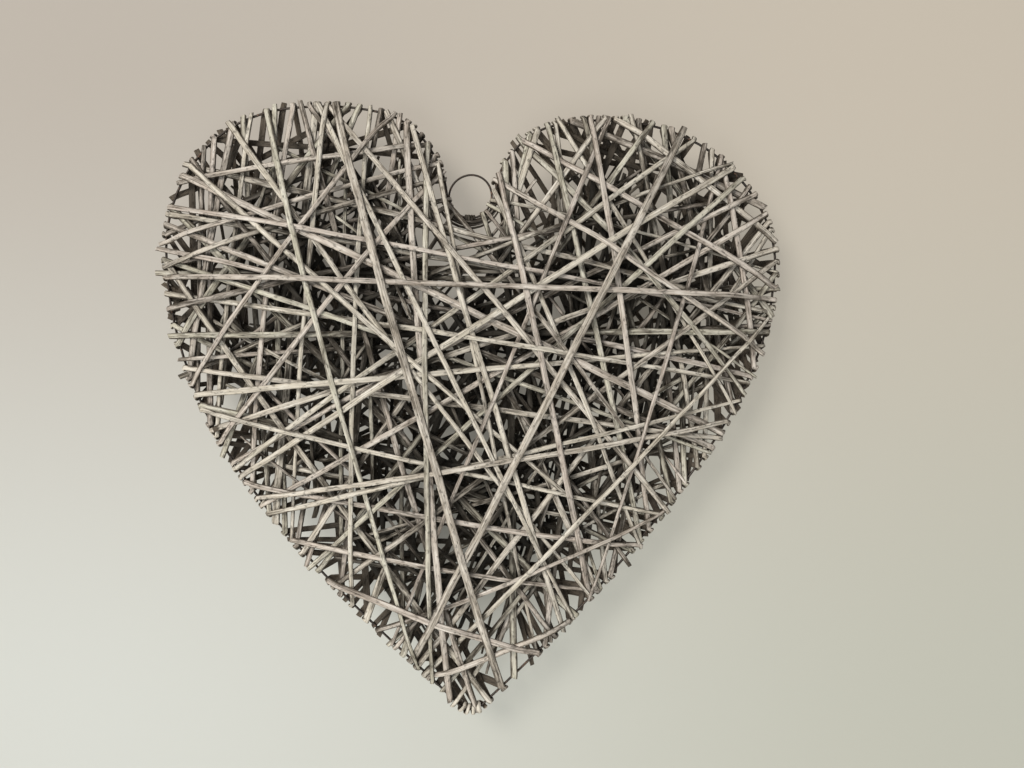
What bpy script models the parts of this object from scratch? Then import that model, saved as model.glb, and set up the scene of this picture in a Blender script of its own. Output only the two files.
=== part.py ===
"""Wicker heart: a wire heart wound all over with split canes, with a hanging ring in its notch.

Metres, +Z up. The heart hangs flat in the XZ plane and faces -Y, with the wall side at +Y.
The origin is at the inner top of the hanging ring, where a nail or hook bears.
"""
import math
import random
from dataclasses import dataclass, field

import bmesh
import bpy
from mathutils import Vector

# Frame wire: heart outline, measured on the wire's centre line
HEART_WIDTH = 0.580
LEFT_CROWN_RISE = 0.109  # left lobe's top above the notch's bottom
RIGHT_CROWN_RISE = 0.0955
TIP_DROP = 0.4655  # tip below the notch's bottom
WIRE_DIAMETER = 0.0023
WIRE_BEND_STEP = math.radians(13)
WIRE_LONGEST_STEP = 0.05
WIRE_BEVEL_RESOLUTION = 1

# Hanging ring, which nests in the notch
RING_INNER_DIAMETER = 0.0388
RING_WIRE_DIAMETER = 0.0020
RING_SEGMENTS = 24
RING_SECTION_SEGMENTS = 6
FIT_CLEARANCE = 0.0003

# Binding that ties the ring to the frame wire
TIE_DIAMETER = 0.0016
TIE_TURNS = 3.5
TIE_PITCH = 0.0026
TIE_POINTS_PER_TURN = 7
TIE_TALL_POWER = 0.8  # below 1, which squares the coil's oval
TIE_DEEP_POWER = 0.6

# Canes
RANDOM_CANES = 24
RUNS_PER_CANE = 4  # crossings of the heart, front and back by turns
CANE_WIDTH_MIN = 0.0042
CANE_WIDTH_MAX = 0.0072
CANE_WIDTH_USUAL = 0.0053
CANE_THICKNESS = 0.0020
CANE_CLEARANCE = 0.0004
CANE_SIDE_GAP = 0.0008  # between neighbours where they turn round the wire
SETTLE_STEP = 0.0002  # by which a turn slides along the wire to clear its neighbour
TURN_INSET = 0.0045  # where a cane bends to its turn, inside the wire's centre line
TURN_REACH = 0.0042  # how far the turn's crease stands outside it
END_REACH = 0.0060  # how far a cane's cut end stands outside it
TURN_CLOSING = 0.4  # share of its height that a cane loses from the inset to the crease
TURN_LIFT = 0.0012  # room between the wire and a cane at its inset
MOST_BENDS = 4  # of one run, between its ends
BEND_TOLERANCE = 0.0030  # height that merging two bends may add
STEEPEST_RISE = 0.70  # of a cane off the rim, height over length
WINDING_SEED = 3

# The canes that show on top at the front, oldest first: how many times the usual width, then the
# two ends of each front run, as percents of the way round the wire, clockwise from the notch
SHOWN_CANES = [
    (1.06, (88.5, 48.9), (31.4, 78.8)),
    (1.02, (71.6, 30.8), (20.9, 68.2)),
    (0.92, (77.9, 96.5), (18.0, 66.3)),
    (0.98, (81.0, 95.4), (63.8, 19.1)),
    (0.94, (76.7, 97.3), (58.4, 21.5)),
    (1.00, (65.2, 37.5), (5.0, 22.8)),
    (1.00, (59.9, 17.0), (6.5, 37.2)),
    (0.89, (91.9, 57.1), (66.0, 13.9)),
    (1.21, (93.8, 50.5), (81.3, 30.5)),
    (1.00, (67.5, 97.0), (8.6, 36.5)),
    (1.06, (94.2, 43.0), (65.5, 16.2)),
    (1.00, (2.6, 26.1), (51.9, 42.5)),
    (0.94, (89.8, 35.2), (64.2, 29.9)),
    (1.13, (3.0, 41.0), (58.8, 44.7)),
    (0.94, (70.7, 93.1), (76.2, 23.4)),
    (1.36, (13.2, 53.0), (90.2, 47.2)),
]


def half_wire():
    """Radius of the frame wire."""
    return WIRE_DIAMETER / 2


def ring_centre_z():
    """Height of the ring's centre: its inner top is the origin."""
    return -RING_INNER_DIAMETER / 2


def ring_path_radius():
    """Radius of the ring wire's centre line."""
    return RING_INNER_DIAMETER / 2 + RING_WIRE_DIAMETER / 2


def notch_radius():
    """Radius of the notch's round bottom, which follows the ring's underside."""
    return ring_path_radius() + RING_WIRE_DIAMETER / 2 + FIT_CLEARANCE + half_wire()


def notch_z():
    """Height of the notch's lowest point on the wire's centre line."""
    return ring_centre_z() - notch_radius()


@dataclass
class Anchor:
    """A point that the outline passes and its heading there, in degrees above +X."""

    x: float
    z: float
    heading: float


def heart_anchors():
    """Clockwise from the notch's bottom, as seen from the front. Hand bent, so not symmetric."""
    half = HEART_WIDTH / 2
    floor = notch_z()
    notch = notch_radius()
    middle = ring_centre_z()
    slant = notch * math.sqrt(0.5)
    return [
        Anchor(0.0, floor, 0),
        Anchor(slant, middle - slant, 45),
        Anchor(notch, middle, 90),
        Anchor(0.150 * half, floor + 0.720 * RIGHT_CROWN_RISE, 50),
        Anchor(0.410 * half, floor + RIGHT_CROWN_RISE, 2),
        Anchor(0.860 * half, floor + 0.500 * RIGHT_CROWN_RISE, -46),
        Anchor(half, floor - 0.138 * half, -90),
        Anchor(0.745 * half, floor - 0.500 * TIP_DROP, -126),
        Anchor(0.090 * half, floor - 0.960 * TIP_DROP, -137),
        Anchor(0.0, floor - TIP_DROP, 180),
        Anchor(-0.085 * half, floor - 0.960 * TIP_DROP, 138),
        Anchor(-0.680 * half, floor - 0.580 * TIP_DROP, 128),
        Anchor(-half, floor - 0.095 * half, 90),
        Anchor(-0.860 * half, floor + 0.660 * LEFT_CROWN_RISE, 45),
        Anchor(-0.500 * half, floor + LEFT_CROWN_RISE, 0),
        Anchor(-0.155 * half, floor + 0.710 * LEFT_CROWN_RISE, -52),
        Anchor(-notch, middle, -90),
        Anchor(-slant, middle - slant, -45),
    ]


def span_points(start, end, steps=60):
    """Points of the Hermite curve between two anchors, an arc where they allow one."""
    turn = (end.heading - start.heading + 180) % 360 - 180
    bend = math.radians(max(abs(turn), 1.0))
    pull = 2 * math.tan(bend / 4) / math.sin(bend / 2)
    pull *= math.dist((start.x, start.z), (end.x, end.z))
    out = (pull * math.cos(math.radians(start.heading)),
           pull * math.sin(math.radians(start.heading)))
    into = (pull * math.cos(math.radians(end.heading)),
            pull * math.sin(math.radians(end.heading)))
    points = []
    for step in range(steps):
        u = step / steps
        a = 2 * u ** 3 - 3 * u ** 2 + 1
        b = u ** 3 - 2 * u ** 2 + u
        c = 3 * u ** 2 - 2 * u ** 3
        d = u ** 3 - u ** 2
        points.append((a * start.x + b * out[0] + c * end.x + d * into[0],
                       a * start.z + b * out[1] + c * end.z + d * into[1]))
    return points


def wire_points():
    """Closely spaced points of the wire's centre line."""
    anchors = heart_anchors()
    points = []
    for start, end in zip(anchors, anchors[1:] + anchors[:1]):
        points.extend(span_points(start, end))
    return points


def plain_heart_points(steps=720):
    """The well-known heart curve, two wide, clockwise from its notch."""
    points = []
    for step in range(steps):
        t = 2 * math.pi * step / steps
        rise = 13 * math.cos(t) - 5 * math.cos(2 * t) - 2 * math.cos(3 * t) - math.cos(4 * t)
        points.append((math.sin(t) ** 3, rise / 16))
    return points


class Outline:
    """A closed line, read by its share of the way round."""

    TANGENT_SHARE = 0.0016  # over which a direction is read, to either side

    def __init__(self, points):
        self.points = points
        self.lengths = [0.0]
        for here, ahead in zip(points, points[1:] + points[:1]):
            self.lengths.append(self.lengths[-1] + math.dist(here, ahead))
        self.perimeter = self.lengths[-1]

    def point(self, share):
        """Point at a share of the way round."""
        goal = (share % 1.0) * self.perimeter
        low, high = 0, len(self.points)
        while high - low > 1:
            middle = (low + high) // 2
            if self.lengths[middle] <= goal:
                low = middle
            else:
                high = middle
        here = self.points[low]
        ahead = self.points[(low + 1) % len(self.points)]
        part = (goal - self.lengths[low]) / (self.lengths[low + 1] - self.lengths[low])
        return (here[0] + part * (ahead[0] - here[0]), here[1] + part * (ahead[1] - here[1]))

    def tangent(self, share):
        """Unit direction of travel."""
        return unit(between(self.point(share - self.TANGENT_SHARE),
                            self.point(share + self.TANGENT_SHARE)))


def unit(vector):
    """Vector of length one in plan."""
    size = math.hypot(*vector)
    return (vector[0] / size, vector[1] / size)


def quarter_turn(vector):
    """Vector turned 90 degrees counterclockwise, seen from the front."""
    return (-vector[1], vector[0])


def dot(a, b):
    """Dot product in plan."""
    return a[0] * b[0] + a[1] * b[1]


def cross(a, b):
    """Cross product in plan."""
    return a[0] * b[1] - a[1] * b[0]


def between(a, b):
    """Vector from one plan point to another."""
    return (b[0] - a[0], b[1] - a[1])


def moved(point, vector, distance):
    """Plan point moved along a vector."""
    return (point[0] + vector[0] * distance, point[1] + vector[1] * distance)


def counterclockwise(polygon):
    """The polygon, turned round if it runs clockwise."""
    area = sum(cross(a, b) for a, b in zip(polygon, polygon[1:] + polygon[:1]))
    return polygon if area > 0 else polygon[::-1]


def common_part(polygon, clipper):
    """Corners of the part that two convex counterclockwise polygons share."""
    for start, end in zip(clipper, clipper[1:] + clipper[:1]):
        edge = between(start, end)
        inward = quarter_turn(edge)
        depths = [dot(inward, between(start, corner)) for corner in polygon]
        kept = []
        for i, corner in enumerate(polygon):
            following = polygon[(i + 1) % len(polygon)]
            here, ahead = depths[i], depths[(i + 1) % len(polygon)]
            if here >= 0:
                kept.append(corner)
            if (here >= 0) != (ahead >= 0):
                kept.append(moved(corner, between(corner, following), here / (here - ahead)))
        polygon = kept
        if not polygon:
            break
    return polygon


@dataclass
class Slot:
    """A place on the rim that one cane holds, where it turns or ends."""

    share: float
    width: float
    rim: tuple
    along: tuple

    @property
    def out(self):
        """Unit vector away from the heart, square to the wire."""
        return quarter_turn(self.along)

    def at(self, reach):
        """Plan point at a reach outside the wire, or inside where negative."""
        return moved(self.rim, self.out, reach)


class Rim:
    """The wire's outline, with the canes' turns side by side on it."""

    NEIGHBOURS = 3  # turns before it that each turn is checked against

    def __init__(self, outline):
        self.outline = outline

    def slot(self, share, width):
        """A slot at a share of the outline."""
        return Slot(share % 1.0, width, self.outline.point(share), self.outline.tangent(share))

    def meets_ring(self, slot):
        """Whether a turn or an end there would touch the hanging ring in the notch."""
        least = ring_path_radius() + RING_WIRE_DIAMETER / 2 + CANE_SIDE_GAP
        centre = (0.0, ring_centre_z())
        edges = [moved(slot.at(END_REACH), slot.along, sense * slot.width / 2) for sense in (-1, 1)]
        return (min(math.dist(edge, centre) for edge in edges) < least
                or math.dist(slot.rim, centre) < least + END_REACH - TURN_INSET)

    def meets(self, slot, other):
        """Whether two canes would touch each other at their turns."""
        room = (slot.width + other.width) / 2 + CANE_SIDE_GAP
        return any(math.dist(slot.at(reach), other.at(reach)) < room
                   for reach in (-TURN_INSET, 0.0, END_REACH))

    def slide(self, slots, sense):
        """Slide slots along the wire in one sense, until each clears the ring and those before."""
        step = sense * SETTLE_STEP / self.outline.perimeter
        settled = []
        for slot in slots:
            leaving = (slot.share < 0.5) == (sense > 0)
            while (leaving and self.meets_ring(slot)
                   or any(self.meets(slot, other) for other in settled[-self.NEIGHBOURS:])):
                slot = self.slot(slot.share + step, slot.width)
            settled.append(slot)
        return settled

    def settle(self, turns):
        """Slots for the canes' turns, given as (share, width) pairs, in the same order."""
        order = sorted(range(len(turns)), key=lambda i: turns[i][0])
        slots = self.slide([self.slot(*turns[i]) for i in order], 1)
        slots = self.slide(slots[::-1], -1)[::-1]
        placed = dict(zip(order, slots))
        return [placed[i] for i in range(len(turns))]


@dataclass
class Crossing:
    """A planned run on the plain heart, with the levels that it lies at along it."""

    start: tuple
    end: tuple
    levels: list = field(default_factory=list)  # (share of the run, level) pairs, concave

    def level(self, share):
        """Level at a share of the run."""
        for (a, low), (b, high) in zip(self.levels, self.levels[1:]):
            if share <= b:
                break
        return low + (high - low) * (share - a) / (b - a)

    def meeting(self, other):
        """Shares of this run and of another where they cross, or None."""
        mine = between(self.start, self.end)
        theirs = between(other.start, other.end)
        gap = between(self.start, other.start)
        turn = cross(mine, theirs)
        if turn == 0:
            return None
        share = cross(gap, theirs) / turn
        other_share = cross(gap, mine) / turn
        if 0 < share < 1 and 0 < other_share < 1:
            return share, other_share
        return None

    def settle_over(self, others):
        """Lie one level over the runs that it crosses, as a taut line."""
        needs = [(0.0, 1.0), (1.0, 1.0)]
        for other in others:
            shares = self.meeting(other)
            if shares:
                needs.append((shares[0], other.level(shares[1]) + 1))
        self.levels = upper_hull(needs)

    def peak(self):
        """Its highest level."""
        return max(level for _, level in self.levels)

    def cells(self, size, samples=40):
        """Cells of a square grid that the run passes."""
        spots = [moved(self.start, between(self.start, self.end), index / samples)
                 for index in range(samples + 1)]
        return {(round(x / size), round(z / size)) for x, z in spots}


@dataclass
class Course:
    """One cane as planned: its width, the face that it crosses first, and its turns' shares."""

    width: float
    first_side: int
    shares: list

    def next_side(self):
        """Face of the heart that the next run crosses."""
        return self.first_side if len(self.shares) % 2 else -self.first_side


class Plan:
    """Which way every cane runs, by shares of the way round a plain heart.

    No size of the real heart enters here, so the pattern stays the same when one changes.
    """

    TURN_SHARE = 0.0031  # of the way round, kept between two turns
    RING_SHARE = 0.026  # on either side of the notch's bottom, kept free for the ring
    SHORTEST = 0.62  # run, where the heart is two wide
    LEAST_LEAVING_ANGLE = math.radians(34)
    NOTCH_MARGIN = 0.10  # between the notch and the runs that pass under it
    TRIES = 400
    CHOICES = 8  # places weighed for each turn
    CELL = 0.08  # of the grid in which the runs over both faces are counted
    PILE_WEIGHT = 0.10  # of a run's peak level, beside the mean count of the cells that it passes

    def __init__(self, chooser):
        self.chooser = chooser
        self.curve = Outline(plain_heart_points())
        self.taken = []
        self.counts = {}
        self.laid = {-1: [], 1: []}
        self.courses = []

    def is_free(self, share):
        """Whether there is room for a turn."""
        if min(share, 1 - share) < self.RING_SHARE:
            return False
        gaps = [abs(share - other) for other in self.taken]
        return all(min(gap, 1 - gap) >= self.TURN_SHARE for gap in gaps)

    def squareness(self, start, end):
        """How squarely a run would leave the wire at both ends: the lesser of the two sines."""
        direction = unit(between(self.curve.point(start), self.curve.point(end)))
        return min(-dot(direction, quarter_turn(self.curve.tangent(start))),
                   dot(direction, quarter_turn(self.curve.tangent(end))))

    def can_run(self, start, end):
        """Whether a cane can run straight between two places, inside the heart."""
        a = self.curve.point(start)
        b = self.curve.point(end)
        if math.dist(a, b) < self.SHORTEST:
            return False
        if self.squareness(start, end) < math.sin(self.LEAST_LEAVING_ANGLE):
            return False
        if a[0] * b[0] >= 0:
            return True
        passing = a[1] + (b[1] - a[1]) * a[0] / (a[0] - b[0])
        return passing < self.curve.points[0][1] - self.NOTCH_MARGIN

    def crossing(self, start, end, side):
        """A run laid over those that its face holds already."""
        run = Crossing(self.curve.point(start), self.curve.point(end))
        run.settle_over(self.laid[side])
        return run

    def count(self, run):
        """Count a run in the cells that it passes."""
        for cell in run.cells(self.CELL):
            self.counts[cell] = self.counts.get(cell, 0) + 1

    def crowding(self, run):
        """How crowded a run's way is: the least crowded run closes gaps and piles up little."""
        cells = run.cells(self.CELL)
        mean = sum(self.counts.get(cell, 0) for cell in cells) / len(cells)
        return mean + self.PILE_WEIGHT * run.peak()

    def reserve(self, first, last):
        """Keep the places and count the runs of a cane that is planned later."""
        self.taken += first + last
        for start, end in (first, last):
            self.count(Crossing(self.curve.point(start), self.curve.point(end)))

    def next_turn(self, course):
        """A free place that the cane reaches from its last one over uncrowded ground."""
        found = []
        for _ in range(self.TRIES):
            share = self.chooser.random()
            if self.is_free(share) and self.can_run(course.shares[-1], share):
                run = self.crossing(course.shares[-1], share, course.next_side())
                found.append((self.crowding(run), share))
            if len(found) == self.CHOICES:
                break
        return min(found)[1] if found else self.squarest_turn(course.shares[-1])

    def squarest_turn(self, start):
        """The free place that a run from another leaves and reaches most squarely."""
        shares = [index / self.TRIES for index in range(self.TRIES)]
        return max((share for share in shares if self.is_free(share)),
                   key=lambda share: self.squareness(start, share))

    def run_on(self, course, share, counted=False):
        """Carry a cane on to its next turn."""
        side = course.next_side()
        run = self.crossing(course.shares[-1], share, side)
        self.laid[side].append(run)
        course.shares.append(share)
        if not counted:
            self.count(run)

    def add_random(self, first_side):
        """Plan a cane at random."""
        width = self.chooser.triangular(CANE_WIDTH_MIN, CANE_WIDTH_MAX, CANE_WIDTH_USUAL)
        share = next(share for share in iter(self.chooser.random, None) if self.is_free(share))
        self.taken.append(share)
        course = Course(width, first_side, [share])
        while len(course.shares) <= RUNS_PER_CANE:
            share = self.next_turn(course)
            self.taken.append(share)
            self.run_on(course, share)
        self.courses.append(course)

    def add_shown(self, width, first, last):
        """Plan a cane by its two front runs, and on over the wall side at random."""
        orders = [(*a, *b) for a in (first, first[::-1]) for b in (last, last[::-1])]
        order = max(orders, key=lambda order: self.squareness(order[1], order[2]))
        course = Course(width, -1, [order[0]])
        self.run_on(course, order[1], counted=True)
        self.run_on(course, order[2])
        self.run_on(course, order[3], counted=True)
        share = self.next_turn(course)
        self.taken.append(share)
        self.run_on(course, share)
        self.courses.append(course)


@dataclass
class Patch:
    """A straight stretch of a laid cane in plan: an edge at each end, and its height there."""

    start: tuple
    end: tuple
    start_height: float
    end_height: float

    def __post_init__(self):
        self.corners = counterclockwise([*self.start, *self.end[::-1]])
        xs = [corner[0] for corner in self.corners]
        zs = [corner[1] for corner in self.corners]
        self.low = (min(xs), min(zs))
        self.high = (max(xs), max(zs))

    def height(self, spot):
        """Height of the cane's middle surface over a plan point, read along the cane."""
        travel = between(self.start[0], self.end[0])
        gaps = []
        for edge in (self.start, self.end):
            across = quarter_turn(between(*edge))
            gaps.append(abs(dot(across, between(edge[0], spot)) / dot(across, travel)))
        share = gaps[0] / (gaps[0] + gaps[1])
        return self.start_height + share * (self.end_height - self.start_height)

    def crossings(self, other):
        """Plan corners that this patch shares with another."""
        for axis in (0, 1):
            if self.low[axis] > other.high[axis] or other.low[axis] > self.high[axis]:
                return []
        return common_part(self.corners, other.corners)


def upper_hull(points):
    """Points of the least concave line over a set of (distance, height) pairs."""
    hull = []
    for point in sorted(points):
        while len(hull) > 1:
            a, b = hull[-2], hull[-1]
            if (b[1] - a[1]) * (point[0] - a[0]) <= (point[1] - a[1]) * (b[0] - a[0]):
                hull.pop()
            else:
                break
        hull.append(point)
    return hull


def meeting_point(a, b, c, d):
    """Where the line through a and b meets the line through c and d."""
    first = (b[1] - a[1]) / (b[0] - a[0])
    second = (d[1] - c[1]) / (d[0] - c[0])
    x = (c[1] - a[1] + first * a[0] - second * c[0]) / (first - second)
    return (x, a[1] + first * (x - a[0]))


def added_height(line, i, peak):
    """How far a peak stands over the stretch from point i to the next one that it replaces."""
    a, b = line[i], line[i + 1]
    share = min(max((peak[0] - a[0]) / (b[0] - a[0]), 0.0), 1.0)
    return peak[1] - (a[1] + share * (b[1] - a[1]))


def fewer_bends(line):
    """The concave line with its slight bends merged outwards, so never lower than before."""
    line = list(line)
    while len(line) > 3:
        merges = []
        for i in range(1, len(line) - 2):
            peak = meeting_point(line[i - 1], line[i], line[i + 1], line[i + 2])
            merges.append((added_height(line, i, peak), i, peak))
        height, i, peak = min(merges)
        if height > BEND_TOLERANCE and len(line) - 2 <= MOST_BENDS:
            break
        line[i:i + 2] = [peak]
    return line


@dataclass
class Run:
    """One straight crossing of a cane over one face of the heart."""

    start: Slot
    end: Slot
    side: int  # -1 on the front, 1 on the back
    line: list = field(default_factory=list)

    def __post_init__(self):
        self.width = self.start.width
        self.foot = self.start.at(-TURN_INSET)
        self.head = self.end.at(-TURN_INSET)
        self.length = math.dist(self.foot, self.head)
        self.direction = unit(between(self.foot, self.head))
        inward = (-self.start.out[0], -self.start.out[1])
        self.foot_edge, self.foot_slip = self.mitre(self.foot, inward, self.direction)
        self.head_edge, self.head_slip = self.mitre(self.head, self.direction, self.end.out)

    def mitre(self, corner, before, after):
        """Edge across the bend at a corner, and how far it slips along the run."""
        across = quarter_turn(unit((before[0] + after[0], before[1] + after[1])))
        half = self.width / 2 / dot(across, quarter_turn(before))
        slip = abs(half * dot(across, after if corner == self.foot else before))
        return (moved(corner, across, half), moved(corner, across, -half)), slip

    def leg_edge(self, slot):
        """Outer edge of the short leg past the wire, in the order of the bend's edge."""
        half = self.width / 2 if slot is self.start else -self.width / 2
        spot = slot.at(END_REACH)
        return (moved(spot, slot.along, half), moved(spot, slot.along, -half))

    def leg_share(self, slot, spot):
        """Share of its bend's height that the leg keeps over a plan point."""
        past = dot(slot.out, between(slot.at(-TURN_INSET), spot))
        return 1 - TURN_CLOSING * max(past, 0.0) / (TURN_INSET + TURN_REACH)


class Mat:
    """One face of the winding, in which each run lies over those laid before it."""

    def __init__(self):
        self.patches = []

    def taut_line(self, run):
        """The run's taut line over the older ones, with its two ends."""
        lift = CANE_THICKNESS + CANE_CLEARANCE
        base = half_wire() + CANE_THICKNESS / 2 + TURN_LIFT
        ends = [base, base]
        for index, (slot, edge) in enumerate(((run.start, run.foot_edge), (run.end, run.head_edge))):
            leg = Patch(run.leg_edge(slot), edge, 0.0, 0.0)
            for patch in self.patches:
                for spot in patch.crossings(leg):
                    need = (patch.height(spot) + lift) / run.leg_share(slot, spot)
                    ends[index] = max(ends[index], need)
        span = Patch(run.foot_edge, run.head_edge, 0.0, 0.0)
        first = run.foot_slip
        last = run.length - run.head_slip
        needs = []
        for patch in self.patches:
            for spot in patch.crossings(span):
                place = dot(run.direction, between(run.foot, spot))
                height = patch.height(spot) + lift
                ends[0] = max(ends[0], height - STEEPEST_RISE * max(place - first, 0.0))
                ends[1] = max(ends[1], height - STEEPEST_RISE * max(last - place, 0.0))
                if first < place < last:
                    needs.append((place, height))
        hull = upper_hull([(first, ends[0]), *needs, (last, ends[1])])
        return ends, hull

    def lay(self, run):
        """Lay a run over the older ones and keep its patches, for those laid later."""
        ends, hull = self.taut_line(run)
        line = fewer_bends(hull)
        run.line = [(0.0, ends[0]), *line[1:-1], (run.length, ends[1])]
        self.add(run)

    def add(self, run):
        """Keep the run's patches, for those laid later."""
        half = run.width / 2
        across = quarter_turn(run.direction)
        edges = [run.foot_edge]
        for place, _ in run.line[1:-1]:
            middle = moved(run.foot, run.direction, place)
            edges.append((moved(middle, across, half), moved(middle, across, -half)))
        edges.append(run.head_edge)
        heights = [height for _, height in run.line]
        for start, end, low, high in zip(edges, edges[1:], heights, heights[1:]):
            self.patches.append(Patch(start, end, low, high))
        for slot, edge, height in ((run.start, run.foot_edge, heights[0]),
                                   (run.end, run.head_edge, heights[-1])):
            self.patches.append(Patch(run.leg_edge(slot), edge, height * (1 - TURN_CLOSING), height))


@dataclass
class Cane:
    """One split cane: the slots that it passes and its runs between them."""

    slots: list
    runs: list = field(default_factory=list)


class Winding:
    """The planned canes on the wire, laid in the order in which they are wound."""

    def __init__(self, rim, courses):
        self.mats = {-1: Mat(), 1: Mat()}
        turns = [(share, course.width) for course in courses for share in course.shares]
        slots = iter(rim.settle(turns))
        self.canes = [self.wind(course, [next(slots) for _ in course.shares]) for course in courses]

    def wind(self, course, slots):
        """Lay one cane through its slots, on one face and the other by turns."""
        cane = Cane(slots)
        side = course.first_side
        for start, end in zip(slots, slots[1:]):
            run = Run(start, end, side)
            self.mats[side].lay(run)
            cane.runs.append(run)
            side = -side
        return cane


def planned_courses():
    """Every cane's course, oldest first."""
    plan = Plan(random.Random(WINDING_SEED))
    shown = [(times * CANE_WIDTH_USUAL, [share / 100 for share in first],
              [share / 100 for share in last]) for times, first, last in SHOWN_CANES]
    for _, first, last in shown:
        plan.reserve(first, last)
    for index in range(RANDOM_CANES):
        plan.add_random(1 if index % 2 else -1)
    for width, first, last in shown:
        plan.add_shown(width, first, last)
    return plan.courses


def put(point, height):
    """Place of a plan point at a height towards +Y."""
    return Vector((point[0], height, point[1]))


class CaneMesh:
    """Builds a cane's solid from its sections."""

    def __init__(self, cane):
        self.cane = cane
        self.sections = []
        slot = cane.slots[0]
        run = cane.runs[0]
        self.add_square(slot.at(END_REACH), run, run.line[0][1] * (1 - TURN_CLOSING), slot)
        for index, run in enumerate(cane.runs):
            self.add_run(run)
            if index + 1 < len(cane.runs):
                self.add_turn(run, cane.runs[index + 1])
        slot = cane.slots[-1]
        self.add_square(slot.at(END_REACH), run, run.line[-1][1] * (1 - TURN_CLOSING), slot)

    def add_section(self, middle, across, through):
        """Add the four corners of a section."""
        self.sections.append([middle + across + through, middle - across + through,
                              middle - across - through, middle + across - through])

    def across(self, run, vector):
        """Half the section's width along a plan vector, kept on the same edge of the cane."""
        return put((vector[0] * -run.side, vector[1] * -run.side), 0.0)

    def add_square(self, spot, run, height, slot):
        """Section of a cut end, square to the wire."""
        sense = 1 if slot is run.end else -1
        along = (-slot.along[0] * sense, -slot.along[1] * sense)
        half = slot.width / 2
        self.add_section(put(spot, run.side * height),
                         self.across(run, (along[0] * half, along[1] * half)),
                         put((0, 0), run.side * CANE_THICKNESS / 2))

    def add_run(self, run):
        """Sections of a run from its foot to its head."""
        through = put((0, 0), run.side * CANE_THICKNESS / 2)
        half = run.start.width / 2
        straight = quarter_turn(run.direction)
        spans = [between(run.foot, run.foot_edge[0])]
        spans += [(straight[0] * half, straight[1] * half) for _ in run.line[1:-1]]
        spans.append(between(run.head, run.head_edge[0]))
        for (place, height), span in zip(run.line, spans):
            spot = moved(run.foot, run.direction, place)
            self.add_section(put(spot, run.side * height), self.across(run, span), through)

    def add_turn(self, before, after):
        """The two creases of a turn round the wire, from one face to the other."""
        slot = before.end
        half = slot.width / 2
        span = self.across(before, (-slot.along[0] * half, -slot.along[1] * half))
        lean = CANE_THICKNESS / 2 * math.sqrt(0.5)
        for run, height in ((before, before.line[-1][1]), (after, after.line[0][1])):
            spot = put(slot.at(TURN_REACH), run.side * height * (1 - TURN_CLOSING))
            through = put((slot.out[0] * lean, slot.out[1] * lean), run.side * lean)
            self.add_section(spot, span, through)

    def build(self, name):
        """The closed mesh over the sections."""
        mesh = bpy.data.meshes.new(name)
        shape = bmesh.new()
        rings = [[shape.verts.new(corner) for corner in section] for section in self.sections]
        shape.faces.new(rings[0])
        for here, ahead in zip(rings, rings[1:]):
            for i in range(len(here)):
                j = (i + 1) % len(here)
                shape.faces.new((here[i], here[j], ahead[j], ahead[i]))
        shape.faces.new(rings[-1][::-1])
        bmesh.ops.recalc_face_normals(shape, faces=shape.faces)
        shape.to_mesh(mesh)
        shape.free()
        return mesh


def make_material(name, color, roughness, metallic=0.0):
    """A plain Principled material."""
    material = bpy.data.materials.new(name)
    material.use_nodes = True
    shader = material.node_tree.nodes["Principled BSDF"]
    shader.inputs["Base Color"].default_value = (*color, 1.0)
    shader.inputs["Roughness"].default_value = roughness
    shader.inputs["Metallic"].default_value = metallic
    return material


def add_object(name, data, material, collection):
    """Add an object with one material to the heart's collection."""
    data.materials.append(material)
    part = bpy.data.objects.new(name, data)
    collection.objects.link(part)
    return part


def wire_curve(name, points, diameter, closed):
    """A round wire along a chain of points."""
    curve = bpy.data.curves.new(name, "CURVE")
    curve.dimensions = "3D"
    curve.bevel_depth = diameter / 2
    curve.bevel_resolution = WIRE_BEVEL_RESOLUTION
    curve.use_fill_caps = not closed
    spline = curve.splines.new("POLY")
    spline.points.add(len(points) - 1)
    for slot, point in zip(spline.points, points):
        slot.co = (*point, 1.0)
    spline.use_cyclic_u = closed
    spline.use_smooth = True
    return curve


def frame_wire_points(outline):
    """Points of the frame wire: one for each step of bend, or of length where it runs straight."""
    points = [put(outline.points[0], 0.0)]
    last = outline.tangent(0.0)
    travelled = 0.0
    for index in range(1, len(outline.points)):
        share = outline.lengths[index] / outline.perimeter
        heading = outline.tangent(share)
        bent = dot(heading, last) < math.cos(WIRE_BEND_STEP)
        if bent or outline.lengths[index] - travelled > WIRE_LONGEST_STEP:
            points.append(put(outline.points[index], 0.0))
            last = heading
            travelled = outline.lengths[index]
    return points


def add_frame_wire(outline, material, collection):
    """The heart-shaped wire that carries the canes."""
    curve = wire_curve("frame_wire", frame_wire_points(outline), WIRE_DIAMETER, closed=True)
    return add_object("frame_wire", curve, material, collection)


def add_hanging_ring(material, collection):
    """The ring in the notch, by which the heart hangs."""
    bpy.ops.mesh.primitive_torus_add(
        major_segments=RING_SEGMENTS, minor_segments=RING_SECTION_SEGMENTS,
        major_radius=ring_path_radius(), minor_radius=RING_WIRE_DIAMETER / 2,
        location=(0, 0, ring_centre_z()), rotation=(math.pi / 2, 0, 0))
    ring = bpy.context.object
    ring.name = "hanging_ring"
    ring.data.name = "hanging_ring"
    ring.data.shade_smooth()
    ring.data.materials.append(material)
    for owner in ring.users_collection:
        owner.objects.unlink(ring)
    collection.objects.link(ring)
    return ring


def signed_power(value, power):
    """A power of a value that keeps its sign."""
    return math.copysign(abs(value) ** power, value)


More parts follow.
